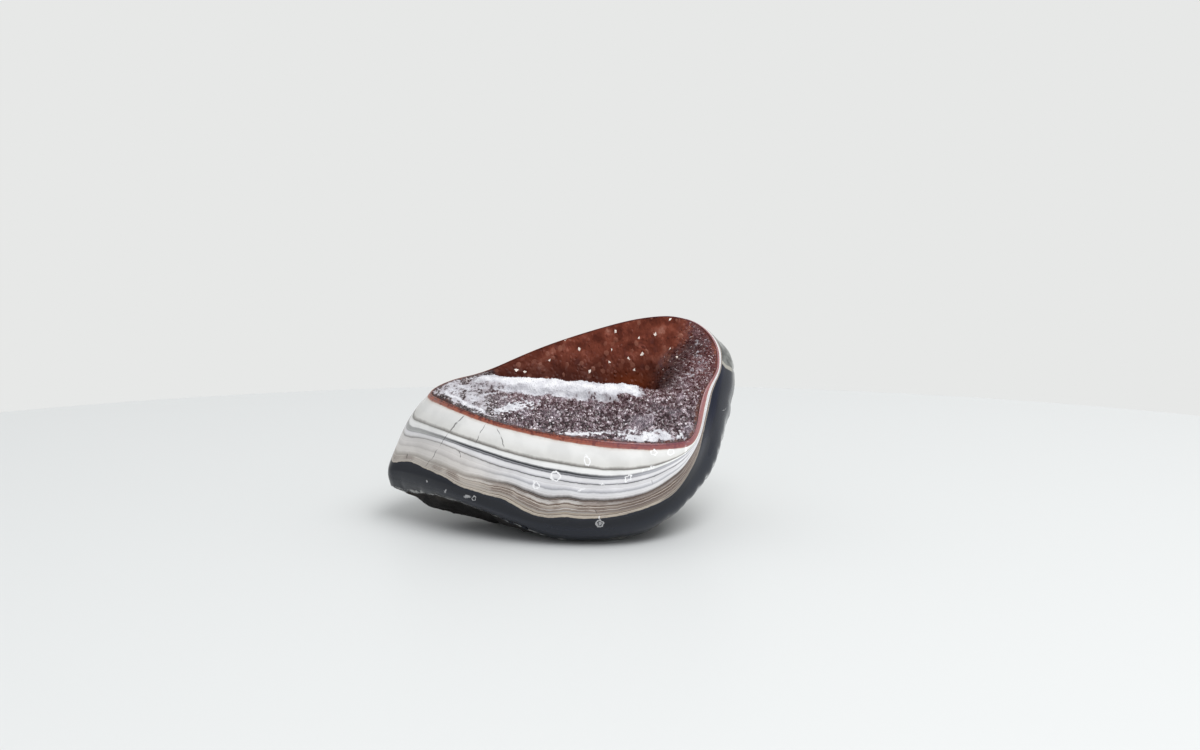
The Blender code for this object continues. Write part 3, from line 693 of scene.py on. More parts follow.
def polished_agate():
    """Banded agate, ground and polished at the front, with its natural husk behind and below.

    The eye gets a wet gloss over pale, faintly clouded bands, a brick-red jasper seam, a near-black outer
    agate, and a dull pitted husk.
    """
    material, tree, shader = new_material("polished_agate")
    place = add(tree, "TexCoord").node.outputs["Object"]
    x = add(tree, "SeparateXYZ", place)
    z = x.node.outputs["Z"]
    layer, skin, vein = (
        add(tree, "Attribute", attribute_name=name).node.outputs["Fac"] for name in ("layer", "skin", "vein")
    )
    cloud = {
        name: add(tree, "TexNoise:3D", place, PER_MM / width, *more) for name, width, *more in AGATE_CLOUDS
    }

    # The bands waver by about a tenth of a band over 5 mm and by less over 1 mm.
    wander = add(tree, "Math:MULTIPLY_ADD", cloud["wander"], 0.16, -0.08)
    shiver = add(tree, "Math:MULTIPLY_ADD", cloud["shiver"], 0.07, -0.035)
    level = add(tree, "Math:ADD", layer, add(tree, "Math:ADD", wander, shiver))
    line = {name: add(tree, "TexNoise:1D", level, *more) for name, *more in AGATE_LINES}
    inner, outer = (following(tree, level, bands) for bands in (INNER_BANDS, OUTER_BANDS))
    colour = add(tree, "Mix:RGBA", add(tree, "Math:GREATER_THAN", level, OUTER_BANDS[0][0]), inner, outer)

    double_line = (level, 2.7, 2.85), (level, 3.18, 3.3, 1.0, 0.0)
    fine_zone = (level, 3.2, 3.5), (level, 5.85, 6.0, 1.0, 0.0)
    brown_zone = (level, 5.02, 5.12), (level, 5.55, 5.7, 1.0, 0.0)
    stain_zone = (level, 4.85, 5.0), (level, 5.7, 5.9, 1.0, 0.0)
    patches = (cloud["thread patches"], 0.38, 0.60, 0.35, 1.0)
    thread_zone = patches, (level, 4.9, 5.1), (level, 5.97, 6.02, 1.0, 0.0)
    dark_zone = (level, 6.0, 6.06)
    colour = painted(
        tree,
        colour,
        (
            # The dark double line fades towards the right and the left end.
            ((*double_line, (x, 0.004, 0.030, 0.0, 0.7)), "#c9cad0"),
            ((*double_line, (x, -0.026, -0.042, 0.0, 0.62)), "#c4c5c3"),
            # Hair-fine bands, 0.2 to 0.5 mm apart, show between the grey line and the dark agate.
            ((*fine_zone, (line["fine"], 0.52, 0.68, 0.0, 0.20)), "#77706c"),
            ((*fine_zone, (line["fine"], 0.46, 0.34, 0.0, 0.5)), "#ecebea"),
            # The left end of the pale bands is warmer, and its lowest ones are brown.
            (((x, -0.008, -0.030, 0.0, 0.55), (level, 3.3, 4.6), (level, 5.95, 6.02, 1.0, 0.0)), "#d9d1c7"),
            ((*brown_zone, (cloud["brown patches"], 0.42, 0.6, 0.0, 0.6)), "#7d6d63"),
            # To the right of the middle the lowest pale bands are stained dark brown, line by line.
            ((*stain_zone, (x, 0.006, 0.022), (line["hair"], 0.36, 0.58, 0.35, 0.85)), "#59463d"),
            # The lowest pale bands have brown and cream lines about 0.3 mm apart, blurred at the right.
            ((*thread_zone, (line["thread"], 0.48, 0.60, 0.0, 0.8)), "#5f4e45"),
            ((*thread_zone, (line["thread"], 0.46, 0.36, 0.0, 0.7)), "#d6cdc3"),
            ((*thread_zone, (level, 5.80, 5.90), (x, 0.012, 0.034, 0.0, 0.8)), "#77706b"),
            # The left end is greyer in its pale bands, and in the dark agate it is lightened by a painted
            # reflection.
            (((x, -0.028, -0.040, 0.0, 0.25), (level, 5.9, 6.0, 1.0, 0.0)), "#aaaaa8"),
            (((x, -0.024, -0.040, 0.0, 0.5), dark_zone), "#2b2d32"),
        ),
    )

    # Clouds within the pale bands, a few mm across.
    misty = add(tree, "VectorMath:SCALE", colour, Scale=zone(tree, (cloud["mist"], 0.35, 0.65, 0.93, 1.03)))
    smoke = painted(tree, linear("#424442"), ((((cloud["smoke"], 0.35, 0.65),), "#70726f"),))
    jasper = (level, 0.9, 1.02, 1.0, 0.0)
    blue_zone = dark_zone, (level, 6.55, 7.0, 1.0, 0.0)
    from_vein = add(tree, "Math:ABSOLUTE", vein)
    edge_zone = (layer, 7.82, 7.95), (layer, 8.01, 8.06, 1.0, 0.0)
    cracks = spots(tree, shaken(tree, place, 2.2, 2.0), DARK_CRACKS, 0.75)
    frayed = shaken(tree, place, 0.8, 1.0)
    rings = spots(tree, frayed, RING_BRUISES, 0.95, 0.30)
    bruises = add(tree, "Math:MAXIMUM", rings, spots(tree, frayed, PALE_BRUISES, 0.85))
    bruises = add(tree, "Math:MULTIPLY", bruises, zone(tree, (level, 5.95, 6.05, 1.0, 0.45)))
    colour = painted(
        tree,
        colour,
        (
            (((level, 1.0, 1.1), (level, 5.9, 6.0, 1.0, 0.0)), misty),
            # The jasper is mottled with dark red and rusty grains of about 0.5 mm, and rosier at the right.
            ((jasper, (cloud["jasper grains"], 0.40, 0.62, 0.0, 0.55)), "#b4654c"),
            ((jasper, (cloud["jasper clots"], 0.56, 0.66, 0.0, 0.6)), "#5a2a2a"),
            ((jasper, (line["seam"], 0.5, 0.62, 0.0, 0.55)), "#5c2c24"),
            ((jasper, (x, 0.0, 0.026, 0.0, 0.5)), "#8c5b68"),
            ((jasper, (x, 0.034, 0.040, 0.0, 0.25)), "#b78f8c"),
            # On the right rim the dark agate starts blue-grey, and above the cream vein it is smoke-grey.
            ((*blue_zone, (x, 0.037, 0.042), (line["streak"], 0.4, 0.62, 0.35, 1.0)), "#1e2233"),
            ((dark_zone, (vein, 0.0, 0.12), (vein, 2.2, 4.5, 1.0, 0.0)), smoke),
            ((dark_zone, (layer, 7.3, 7.6, 1.0, 0.0), (from_vein, 0.06, 0.15, 0.7, 0.0)), "#b9b6aa"),
            # Healed cracks, and the pale rings and nicks that knocks leave under a polish.
            (cracks, "#3c3a3a"),
            (bruises, "#fbfbfc"),
            # Bruised edge where the polish ends, mostly at the front.
            ((*edge_zone, (cloud["wear"], 0.44, 0.56, 0.0, 0.75), (x, 0.016, 0.028, 1.0, 0.12)), "#b5b5b2"),
        ),
    )

    # The husk: dull grey-brown clay-like rind with rusty and pale patches of 1 to 8 mm. Low down it turns
    # near-black, which is painted shade under the stone. The polish ends in a ragged line against it.
    rind = painted(
        tree,
        following(tree, cloud["rind"], RIND_COLOURS),
        (
            (((cloud["rust"], 0.54, 0.66, 0.0, 0.6),), "#4f3524"),
            (((cloud["specks"], 0.60, 0.70, 0.0, 0.8),), "#121111"),
            # Painted shade: the rind darkens to near-black towards the table.
            (((z, 0.006, 0.016, 0.88, 0.15),), "#0b0a0a"),
        ),
    )
    husk = zone(tree, (add(tree, "Math:MULTIPLY_ADD", cloud["ragged"], 0.9, skin), 0.66, 0.78))
    tree.links.new(painted(tree, colour, ((husk, rind),)), shader.inputs["Base Color"])

    shine = add(tree, "Math:MULTIPLY_ADD", cloud["polish"], 0.05, 0.05)
    shine = add(tree, "Math:MAXIMUM", shine, add(tree, "Math:MULTIPLY", bruises, 0.3))
    tree.links.new(add(tree, "Mix:FLOAT", husk, shine, 0.72), shader.inputs["Roughness"])
    for name, value in (("IOR", 1.54), ("Specular IOR Level", 0.36), ("Metallic", 0.0)):
        shader.inputs[name].default_value = value
    height = add(tree, "Math:MULTIPLY", cloud["rind relief"], husk)
    tree.links.new(add(tree, "Bump", Strength=1.0, Distance=0.0007, Height=height), shader.inputs["Normal"])
    return material


# Colours of the crystals by how pale each facet is, of the iron film by its thickness, and of the dust.
VIOLET_COLOURS = (
    (0.05, "#150d0f"),
    (0.30, "#332025"),
    (0.47, "#503a40"),
    (0.62, "#7a656c"),
    (0.77, "#b2a4ad"),
    (0.90, "#f2edf1"),
)
RUST_COLOURS = ((0.28, "#4c1d12"), (0.42, "#652e20"), (0.55, "#7a3d2d"), (0.68, "#945848"), (0.8, "#b08072"))
SNOW_COLOURS = ((0.55, "#ada5ab"), (0.75, "#cfcfd5"), (0.90, "#e6e6ea"), (1.05, "#f2f2f4"))


def quartz_druse():
    """Small quartz crystals grown in the hollow: smoky amethyst, iron-stained on the wall, dusted white.

    The eye gets salt-and-pepper facets, a deep red-brown wall with single painted glints, and a soft white
    ledge.
    """
    material, tree, shader = new_material("quartz_druse")
    place = add(tree, "TexCoord").node.outputs["Object"]
    x = add(tree, "SeparateXYZ", place)
    z = x.node.outputs["Z"]
    grain, facet, powder, iron, amber, glint, shade = (
        add(tree, "Attribute", attribute_name=name).node.outputs["Fac"]
        for name in ("grain", "facet", "powder", "iron", "amber", "glint", "shade")
    )
    drift = add(tree, "TexNoise:3D", place, PER_MM / 6.0, 3.0)
    patches = add(tree, "TexNoise:3D", place, PER_MM / 4.0, 4.0)

    # Paler and darker drifts run over the druse, and high on the right it is flushed with red-brown.
    mixed = add(tree, "Math:MULTIPLY_ADD", facet, 0.45, add(tree, "Math:MULTIPLY", grain, 0.55))
    violet = painted(
        tree,
        following(tree, mixed, VIOLET_COLOURS),
        (
            (((drift, 0.48, 0.68, 0.0, 0.32),), "#a79eaa"),
            (((drift, 0.50, 0.34, 0.0, 0.5),), "#3b2228"),
            (((z, 0.033, 0.050, 0.0, 0.55),), "#82433f"),
        ),
    )
    # The left end is a neutral smoke-grey.
    grey = add(tree, "VectorMath:DOT_PRODUCT", violet, (0.30, 0.55, 0.20))
    violet = painted(tree, violet, ((((x, -0.012, -0.024, 0.0, 0.55),), grey),))

    # The iron film hides most of the difference between facets, and drifts from brick red to brown over 3 mm.
    film = add(tree, "Math:MULTIPLY_ADD", mixed, 0.13, add(tree, "Math:MULTIPLY", patches, 0.87))
    rust = painted(
        tree,
        following(tree, film, RUST_COLOURS),
        (
            # Painted shade: low on the wall, in the recess behind the ledge, the film is darkened to deep
            # brown.
            (((z, 0.0385, 0.049, 0.8, 0.0),), "#3d1408"),
            (((grain, 0.86, 1.0, 0.0, 0.4),), "#a3705f"),
            (add(tree, "Math:MULTIPLY", amber, 0.75), "#6e2c06"),
        ),
    )
    # The stain and the white dust end grain by grain.
    stained = add(tree, "Math:MULTIPLY_ADD", grain, 0.7, iron)
    snow = following(tree, powder, SNOW_COLOURS)
    snow = painted(tree, snow, ((add(tree, "Math:MULTIPLY", grain, 0.2), "#8f8f97"),))
    dusted = zone(tree, (add(tree, "Math:MULTIPLY_ADD", grain, 0.5, powder), 0.62, 0.86))
    colour = painted(
        tree,
        violet,
        (
            (((stained, 0.55, 1.15),), rust),
            # Painted shade darkens the recesses of the crust.
            (add(tree, "Math:MULTIPLY", shade, 0.8), "#2a1615"),
            (dusted, snow),
            # Painted glints: single facets painted warm white as sparkles of light.
            (glint, "#fff4ea"),
        ),
    )
    tree.links.new(colour, shader.inputs["Base Color"])
    crisp = add(tree, "Mix:FLOAT", iron, 0.14, 0.34)
    tree.links.new(add(tree, "Mix:FLOAT", dusted, crisp, 0.65), shader.inputs["Roughness"])
    tree.links.new(add(tree, "Mix:FLOAT", iron, 0.5, 0.12), shader.inputs["Specular IOR Level"])
    for name, value in (("IOR", 1.55), ("Metallic", 0.0)):
        shader.inputs[name].default_value = value
    return material


CRUST_INSET = 0.00040
SEAT_LAND = 0.00026
SEAT_STEP = 0.00005
SEAT_GAP = 0.0003
LIP_ROUNDING = 0.00040
LIP_ROUNDING_STEPS = (0.0, 0.2, 0.4, 0.6, 0.8)
# The face's ring lies halfway to the border, and rows that begin at the lip are kept apart by a hair.
FACE_SHARE = 0.5
ROW_HAIR = 0.01
ROWS_PER_LAYER = (10, 12, 10, 8, 12, 14, 12, 22)
EDGE_LAYER = len(ROWS_PER_LAYER)
SKIN_ROWS = 56
ROUGH_BELOW_RAMP = (0, 0.12)
# The cream vein crosses the dark agate at this station where the share is VEIN_SHARE, and leans by this many
# stations for a share of 1.
VEIN_STATION = 13.7
VEIN_LEAN = 0.45
VEIN_SHARE = 0.38
FAR_FROM_VEIN = -9.0


def band_table():
    """The band shares of every column, from the lip to the edge."""
    table = closed_curve(np.array(BAND_SHARES))
    station = np.arange(len(table)) / COLUMNS_PER_STATION
    wave = sum(share * bump(station, at, half) for at, half, share in BORDER_BUMPS)
    for band, strength in BUMP_STRENGTHS:
        table[:, band] += strength * wave
    ends = np.zeros((len(table), 1))
    return np.concatenate([ends, table, ends + 2.0], axis=1)


def build_agate(husk_rows):
    """The agate body: seat of the crust, rounded lip, polished face in rows that follow its bands, husk."""
    lip, border, edge = (closed_curve(np.array(STATIONS_MM)[:, place] * MM) for place in range(3))
    size = len(lip)
    middle = (lip + edge).mean(axis=0)
    edge = chipped(edge, border)
    foot = foot_ring(edge)
    face = bulged_middle(lip, border, FACE_BULGE, border - middle)
    belly_bulge = mix(BELLY_BULGE_FRONT, BELLY_BULGE_REAR, ramp(edge[:, 1], *REAR_RAMP))
    belly = bulged_middle(border, edge, belly_bulge, edge - middle)

    table = band_table()
    layers = [np.arange(rows) / rows + number for number, rows in enumerate(ROWS_PER_LAYER)]
    layers = np.concatenate([*layers, [EDGE_LAYER]])
    marks = np.arange(EDGE_LAYER + 1)
    shares = np.array([[np.interp(level, marks, column) for column in table] for level in layers])
    first = LIP_ROUNDING / np.linalg.norm(face - lip, axis=1) * FACE_SHARE
    shares = np.maximum(shares, first * (1 + layers[:, None] * ROW_HAIR))
    polished = rings_at([lip, face, border, belly, edge], shares / 2)

    step = np.arange(1, husk_rows + 1) / husk_rows
    below = rings_at([edge, swollen_middle(edge, foot), foot], np.repeat(step[:, None], size, axis=1))
    grid = np.concatenate([polished, below])

    left = ramp(-edge[:, 0], *SKIN_LEFT_RAMP) * ramp(edge[:, 1], *SKIN_LEFT_BACK_RAMP)
    behind = np.clip(ramp(edge[:, 1], *SKIN_BACK_RAMP) + left, 0, 1)
    rough = behind * ramp(shares / 2, *SKIN_DOWN_RAMP)
    rough = np.concatenate([rough, np.maximum(behind, ramp(step[:, None], *ROUGH_BELOW_RAMP))])
    across = np.roll(grid, -1, axis=1) - np.roll(grid, 1, axis=1)
    normals = unit(np.cross(np.gradient(grid, axis=0), across))
    if ((grid - grid.mean(axis=(0, 1))) * normals).sum() < 0:
        normals = -normals
    grid[:-1] += (normals * (rough * skin_height(grid))[..., None])[:-1]
    grid[:-1, :, 2] = np.maximum(grid[:-1, :, 2], SKIN_FLOOR)

    insets = (SEAT_LAND, SEAT_LAND + SEAT_STEP, CRUST_INSET)
    land, step_top, crust_edge = hollow_rings(lip, [(inset, 0.0) for inset in insets])[0]
    seat = seated_rings(lip, CRUST_INSET, SEAT_GAP)
    step_foot = step_top + (seat[0] - crust_edge)
    rounding = [mix(mix(land, lip, t), mix(lip, grid[0], t), t) for t in LIP_ROUNDING_STEPS]

    body = Body()
    rings = seat[::-1] + [step_foot] + rounding + list(grid)
    starts = [body.ring(ring) for ring in rings]
    for upper, lower in zip(starts, starts[1:]):
        body.band(upper, lower, size)
    pole = body.ring([hollow_pole() - np.array(SEAT_WAY) * (CRUST_THICKNESS + SEAT_GAP)])
    base = body.ring([FOOT_CENTRE])
    body.fan(starts[0], size, pole)
    body.fan(starts[-1], size, base)
    mesh = body.mesh("agate_body")

    inside = len(rings) - len(grid)
    station = np.arange(size) / COLUMNS_PER_STATION
    level = np.concatenate([np.zeros(inside), layers, EDGE_LAYER + step])
    share = np.concatenate([np.zeros((inside, size)), shares, 2 + step[:, None] + np.zeros(size)])
    vein = station - (VEIN_STATION - VEIN_LEAN * (share - VEIN_SHARE))
    keep(mesh, "layer", np.append(np.repeat(level[:, None], size, axis=1), [0.0, EDGE_LAYER + 1]))
    keep(mesh, "skin", np.append(np.concatenate([np.zeros((inside, size)), rough]), [0.0, 1.0]))
    keep(mesh, "vein", np.append(vein, [FAR_FROM_VEIN] * 2))
    mesh.shade_smooth()
    dress(placed("agate_body", mesh, polished_agate()), "stone")


DRUSE_ROWS = 90
FINE_SPACING = 0.00056
STEEPNESS = 0.5
SITE_SEED = 21
SITE_TRIES = 240000
SHAPE_SEED = 22
GLINT_RADIUS = 0.00042


class Druse:
    """The smooth top of the crust, read at any place. A place is a column and a share of the way down it."""

    def __init__(self, lip):
        rings, totals = hollow_rings(lip, [(CRUST_INSET, row / DRUSE_ROWS) for row in range(DRUSE_ROWS)])
        normals = hollow_normals(rings)
        pole = np.repeat(hollow_pole()[None, None], len(lip), axis=1)
        self.normals = np.concatenate([normals, normals[-1:]])
        self.points = np.concatenate([rings, pole])
        self.points += self.normals * ledge_rise(self.points[..., 0], self.points[..., 1])[..., None]
        self.lengths = totals - CRUST_INSET
        self.ways = unit(lip[:, :2] - np.array(HOLLOW_CENTRE))

    def beside(self, column):
        """The columns on either side of each place, and how far it lies between them."""
        left = column.astype(int)
        return left % len(self.ways), (left + 1) % len(self.ways), column - left

    def read(self, table, column, share):
        """Values of a table of rings at many places."""
        left, right, side = self.beside(column)
        row = np.minimum((share * DRUSE_ROWS).astype(int), DRUSE_ROWS - 1)
        upper, lower = (mix(table[at, left], table[at, right], side[:, None]) for at in (row, row + 1))
        return mix(upper, lower, (share * DRUSE_ROWS - row)[:, None])

    def length(self, column):
        """Length of the crust from its edge to the pole."""
        left, right, side = self.beside(column)
        return mix(self.lengths[left], self.lengths[right], side)

    def flat(self, column, share):
        """Places on a disc onto which the crust is unrolled."""
        left, right, side = self.beside(column)
        way = unit(mix(self.ways[left], self.ways[right], side[:, None]))
        return way * (self.length(column) * (1 - share))[:, None]


def ledge_rise(x, y):
    """How far the white ledge stands up from the smooth hollow."""
    behind = behind_ledge(x, y)
    across = ramp(behind, *LEDGE_FRONT_RAMP) * (1 - ramp(behind, *LEDGE_BACK_RAMP))
    along = ramp(x, *LEDGE_LEFT_RAMP) * (1 - ramp(x, *LEDGE_RIGHT_RAMP))
    return LEDGE_RISE * across * along


# White dust on the crust beside the ledge, as (middle x and y in mm, half length, half width, tilt, amount).
WHITE_PATCHES = (
    (-30.5, 3.5, 9.0, 6.0, 0, 0.70),
    (-22.0, 7.0, 8.0, 4.0, -20, 0.72),
    (-27.0, -1.8, 9.0, 4.2, -25, 0.66),
    (-14.6, -8.7, 7.0, 2.0, 12, 0.84),
    (6.0, -20.3, 5.0, 1.3, 0, 0.94),
    (25.5, -20.4, 11.5, 2.0, 2, 0.84),
    (17.0, -19.5, 4.0, 1.5, 0, 0.55),
    (40.6, 9.5, 2.2, 6.0, 0, 0.37),
    (40.6, 14.0, 2.4, 3.0, 0, 0.38),
    (38.8, 5.0, 2.6, 2.6, 0, 0.33),
    (25.0, -12.0, 4.0, 2.5, 10, 0.36),
    (12.0, -13.0, 14.0, 2.5, 4, 0.22),
)
# Painted glints on the stained wall: the facets nearest these places, given as x, y, z in mm, are painted
# warm white as sparkles of light.
GLINT_PLACES = (
    (-3.8, 18.5, 44.3), (-11.4, 17.9, 41.1), (-13.9, 18.0, 41.6), (5.1, 19.4, 47.8), (1.1, 21.1, 50.0),
    (19.8, 16.8, 45.8), (23.1, 18.0, 51.6), (13.9, 17.0, 44.0), (14.8, 18.2, 47.8), (29.8, 11.0, 43.2),
    (34.0, 11.3, 47.2), (15.9, 19.4, 53.2), (27.7, 16.6, 52.9), (8.4, 16.4, 41.5), (21.7, 15.3, 42.0),
    (32.3, 16.6, 57.1), (23.8, 16.5, 46.9), (32.3, 13.8, 49.0), (31.2, 10.2, 42.3),
)

# Where the crust is white, iron-stained, amber and dark, in mm. A ramp is a start and a run, and a bump is a
# middle and a half width. Distances behind the ledge's crest count as positive. WHITE_FRONT gives the white's
# front limit at three places along the specimen, and STAIN_LIMIT is the stain's right limit at the front, its
# shift for each mm of depth, the depth up to which it shifts, and its shift high up. A wander is how far a
# border strays with the noise.
WHITE_FRONT = ((8, 17, 23), (-7.8, -6.5, -5.3))
WHITE_FRONT_RAMP = (1.0, 2.6)
WHITE_BACK_RAMP = (0.6, 0.9)
WHITE_LEFT_RAMP = (-30, 6)
WHITE_RIGHT_RAMP = (22.5, 3.0)
WHITE_FRONT_WANDER, WHITE_BACK_WANDER, WHITE_RIGHT_WANDER = 1.6, 0.5, 2.0
CREST_FRONT_RAMP = (-5.2, 2.6)
CREST_BACK_RAMP = (-1.4, 1.6)
CREST_BACK_LOSS = 0.45
CREST_WANDER = 0.8
LEDGE_CLOUD_RAMP = (-0.15, 0.4)
CLOUDED_CREST = 0.50
LEDGE_WHITENESS = (0.77, 1.02)
LEDGE_LEFT_LOSS = (0.12, (12, 8))
PATCH_RAMP = (0.75, 0.35)
PATCH_WANDER = 0.95
STAIN_LIMIT = (18.5, 0.55, 30, 6)
STAIN_HIGH_RAMP = (45, 7)
STAIN_FADE = 14.0
STAIN_BEHIND_RAMP = (0.8, 1.8)
STAIN_LEFT_RAMP = (-22.5, 3.0)
STAIN_WANDER = 3.0
FROST_BUMP = (4.2, 1.7)
FROST_LEFT_RAMP = (19, 4)
FROST_BACK_RAMP = (0, 5)
FROST_WANDER = 0.8
FROST_WHITENESS = 0.9
UNEVEN_DUST_RAMP = (0.3, 0.3)
DUSTED_WALL_HEIGHT = 41.5
DUST_LOST_TO_STAIN = 0.8
SEAM_RAMP = (0.4, 1.1)
SEAM_WANDER = 0.6
SEAM_BACK_RAMP = (12, 4)
SEAM_BACK_LOSS = 0.7
SEAM_STAIN = 0.6
AMBER_BUMPS = ((20, 7), (14.5, 3.5), (38.5, 3.5))
# How strongly the front left, the corner of the wall and the back left are darkened with painted shade, and
# where they lie. The corner's bump is measured from the stain's right limit.
SHADES = (0.75, 0.85, 0.6)
FRONT_LEFT_RAMP = (12, 6)
FRONT_LEFT_DOWN_RAMP = (1.6, 1.3)
FRONT_LEFT_BACK_RAMP = (0, 4)
FRONT_LEFT_WANDER = 1.2
CORNER_BUMP = (9, 6)
CORNER_BEHIND_RAMP = (0, 4)
CORNER_HIGH_RAMP = (49, 5)
CORNER_HIGH_LOSS = 0.6
CORNER_WANDER = 1.5
BACK_LEFT_BEHIND_RAMP = (1.0, 1.5)
BACK_LEFT_RAMP = (-21.5, 3.0)

# Noises as (strength, width in metres, shift): for the borders and their fringes, for the clouds in the ledge
# and the dust, and for the lumps of the whole crust and of the ledge, whose strength is a height in metres.
BORDER_NOISE = ((1.0, 0.0030, 3.0), (0.5, 0.0012, 7.0))
FRINGE_NOISE = ((1.0, 0.0008, 17.0),)
CLOUD_NOISE = ((1.0, 0.0042, 23.0),)
DUST_NOISE = ((0.16, 0.0022, 13.0),)
CRUST_LUMPS = ((0.00035, 0.0050, 11.0), (0.00016, 0.0020, 5.0))
LEDGE_LUMPS = ((0.0007, 0.0032, 9.0), (0.00025, 0.0012, 2.0))


def layered_noise(points, table):
    """Noises of several widths, laid over one another."""
    return sum(strength * noise_at(points, width, shift) for strength, width, shift in table)


class Zones:
    """How white, iron-stained and amber the crust is, and how dark with painted shade, at given points, some
    way down from its edge.
    """

    def __init__(self, points, down):
        x, y, z = (points - DATUM).T / MM
        behind = behind_ledge(points[:, 0], points[:, 1]) / MM
        down = down / MM
        rough = layered_noise(points, BORDER_NOISE)

        # The ledge, whitest along the middle of its crest, with greyer clouds about 4 mm across.
        low, run = np.interp(x, *WHITE_FRONT) - WHITE_FRONT_RAMP[0], WHITE_FRONT_RAMP[1]
        back = 1 - ramp(behind + WHITE_BACK_WANDER * rough, *WHITE_BACK_RAMP)
        ledge = ramp(behind + WHITE_FRONT_WANDER * rough, low, run) * back
        right = 1 - ramp(x + WHITE_RIGHT_WANDER * rough, *WHITE_RIGHT_RAMP)
        ledge *= ramp(x, *WHITE_LEFT_RAMP) * right
        crest = ramp(behind + CREST_WANDER * rough, *CREST_FRONT_RAMP)
        crest *= 1 - CREST_BACK_LOSS * ramp(behind + CREST_WANDER * rough, *CREST_BACK_RAMP)
        clouds = mix(CLOUDED_CREST, 1.0, ramp(layered_noise(points, CLOUD_NOISE), *LEDGE_CLOUD_RAMP))
        loss, left = LEDGE_LEFT_LOSS
        self.powder = ledge * mix(*LEDGE_WHITENESS, crest * clouds) * (1 - loss * ramp(-x, *left))
        fringe = layered_noise(points, FRINGE_NOISE)
        for cx, cy, long, wide, tilt, amount in WHITE_PATCHES:
            turn = math.radians(tilt)
            along = ((x - cx) * math.cos(turn) + (y - cy) * math.sin(turn)) / long
            aside = ((y - cy) * math.cos(turn) - (x - cx) * math.sin(turn)) / wide
            away = np.hypot(along, aside) + PATCH_WANDER * rough + fringe
            self.powder = np.maximum(self.powder, amount * (1 - ramp(away, *PATCH_RAMP)))

        # The iron stain on the back wall, and frost below the rim at the front left.
        base, per_depth, deepest, raised = STAIN_LIMIT
        limit = base + per_depth * np.clip(y, 0, deepest) + raised * ramp(z, *STAIN_HIGH_RAMP)
        stained = 1 - ramp(x + STAIN_WANDER * rough, limit, STAIN_FADE)
        self.iron = ramp(behind + rough, *STAIN_BEHIND_RAMP) * stained * ramp(x, *STAIN_LEFT_RAMP)
        frost = bump(down + FROST_WANDER * rough, *FROST_BUMP)
        frost = frost * ramp(-x, *FROST_LEFT_RAMP) * (1 - ramp(y, *FROST_BACK_RAMP))
        self.powder = np.maximum(self.powder, FROST_WHITENESS * frost)
        self.powder += layered_noise(points, DUST_NOISE) * ramp(self.powder, *UNEVEN_DUST_RAMP)
        self.powder *= 1 - DUST_LOST_TO_STAIN * self.iron * (z < DUSTED_WALL_HEIGHT)

        # A stained seam along the edge of the crust, the amber corner, and the places darkened with painted
        # shade.
        seam_start, seam_run = SEAM_RAMP
        seam = SEAM_STAIN * (1 - ramp(down, seam_start + SEAM_WANDER * rough, seam_run))
        seam = seam * (1 - SEAM_BACK_LOSS * ramp(y, *SEAM_BACK_RAMP))
        self.iron = np.maximum(self.iron, seam)
        self.powder *= 1 - seam
        self.amber = np.prod([bump(value, *spot) for value, spot in zip((x, y, z), AMBER_BUMPS)], axis=0)
        front_left = 1 - ramp(down + FRONT_LEFT_WANDER * rough, *FRONT_LEFT_DOWN_RAMP)
        front_left = ramp(-x, *FRONT_LEFT_RAMP) * front_left * (1 - ramp(y, *FRONT_LEFT_BACK_RAMP))
        past_limit, half = CORNER_BUMP
        corner = bump(x + CORNER_WANDER * rough, limit + past_limit, half) * ramp(behind, *CORNER_BEHIND_RAMP)
        corner *= 1 - CORNER_HIGH_LOSS * ramp(z, *CORNER_HIGH_RAMP)
        back_left = ramp(behind, *BACK_LEFT_BEHIND_RAMP) * (1 - ramp(x, *BACK_LEFT_RAMP))
        shades = zip(SHADES, (front_left, corner, back_left))
        self.shade = np.clip(sum(strength * shade for strength, shade in shades), 0, 1)

        # Lumps of the whole crust, and coarser ones on the ledge, in metres.
        self.lumps = layered_noise(points, CRUST_LUMPS) + ledge * layered_noise(points, LEDGE_LUMPS)


# Crystals on the stained wall and in the white dust, against the fine ones elsewhere: how far apart they
# stand, how high they rise, and how far they lean. Then the depth of the valleys between them.
WALL_SPACING, WHITE_SPACING = 1.75, 0.75
WALL_HEIGHT, WHITE_HEIGHT = 0.10, 0.45
WALL_LEAN = 0.4
VALLEY_DEPTH, WHITE_VALLEY_DEPTH = 0.16, 0.06
WHITE_FROM = 0.5
# How much is left of height, lean and valley at the very edge of the crust, and how far in it is all there.
EDGE_HEIGHT, EDGE_LEAN, EDGE_VALLEY = 0.35, 0.2, 0.2
EDGE_RUN = 0.0015
EDGE_ROOM = 0.4
HEIGHT_SPREAD = (0.5, 1.5)
LEAN_SPREAD = 0.22
CELL_SIZE = 1.8


def crystal_spacing(zones, fine):
    """Spacing of the crystals: fine in the druse, wider on the stained wall, closer where it is white."""
    spacing = mix(fine, WALL_SPACING * fine, zones.iron)
    return mix(spacing, WHITE_SPACING * fine, zones.powder > WHITE_FROM)


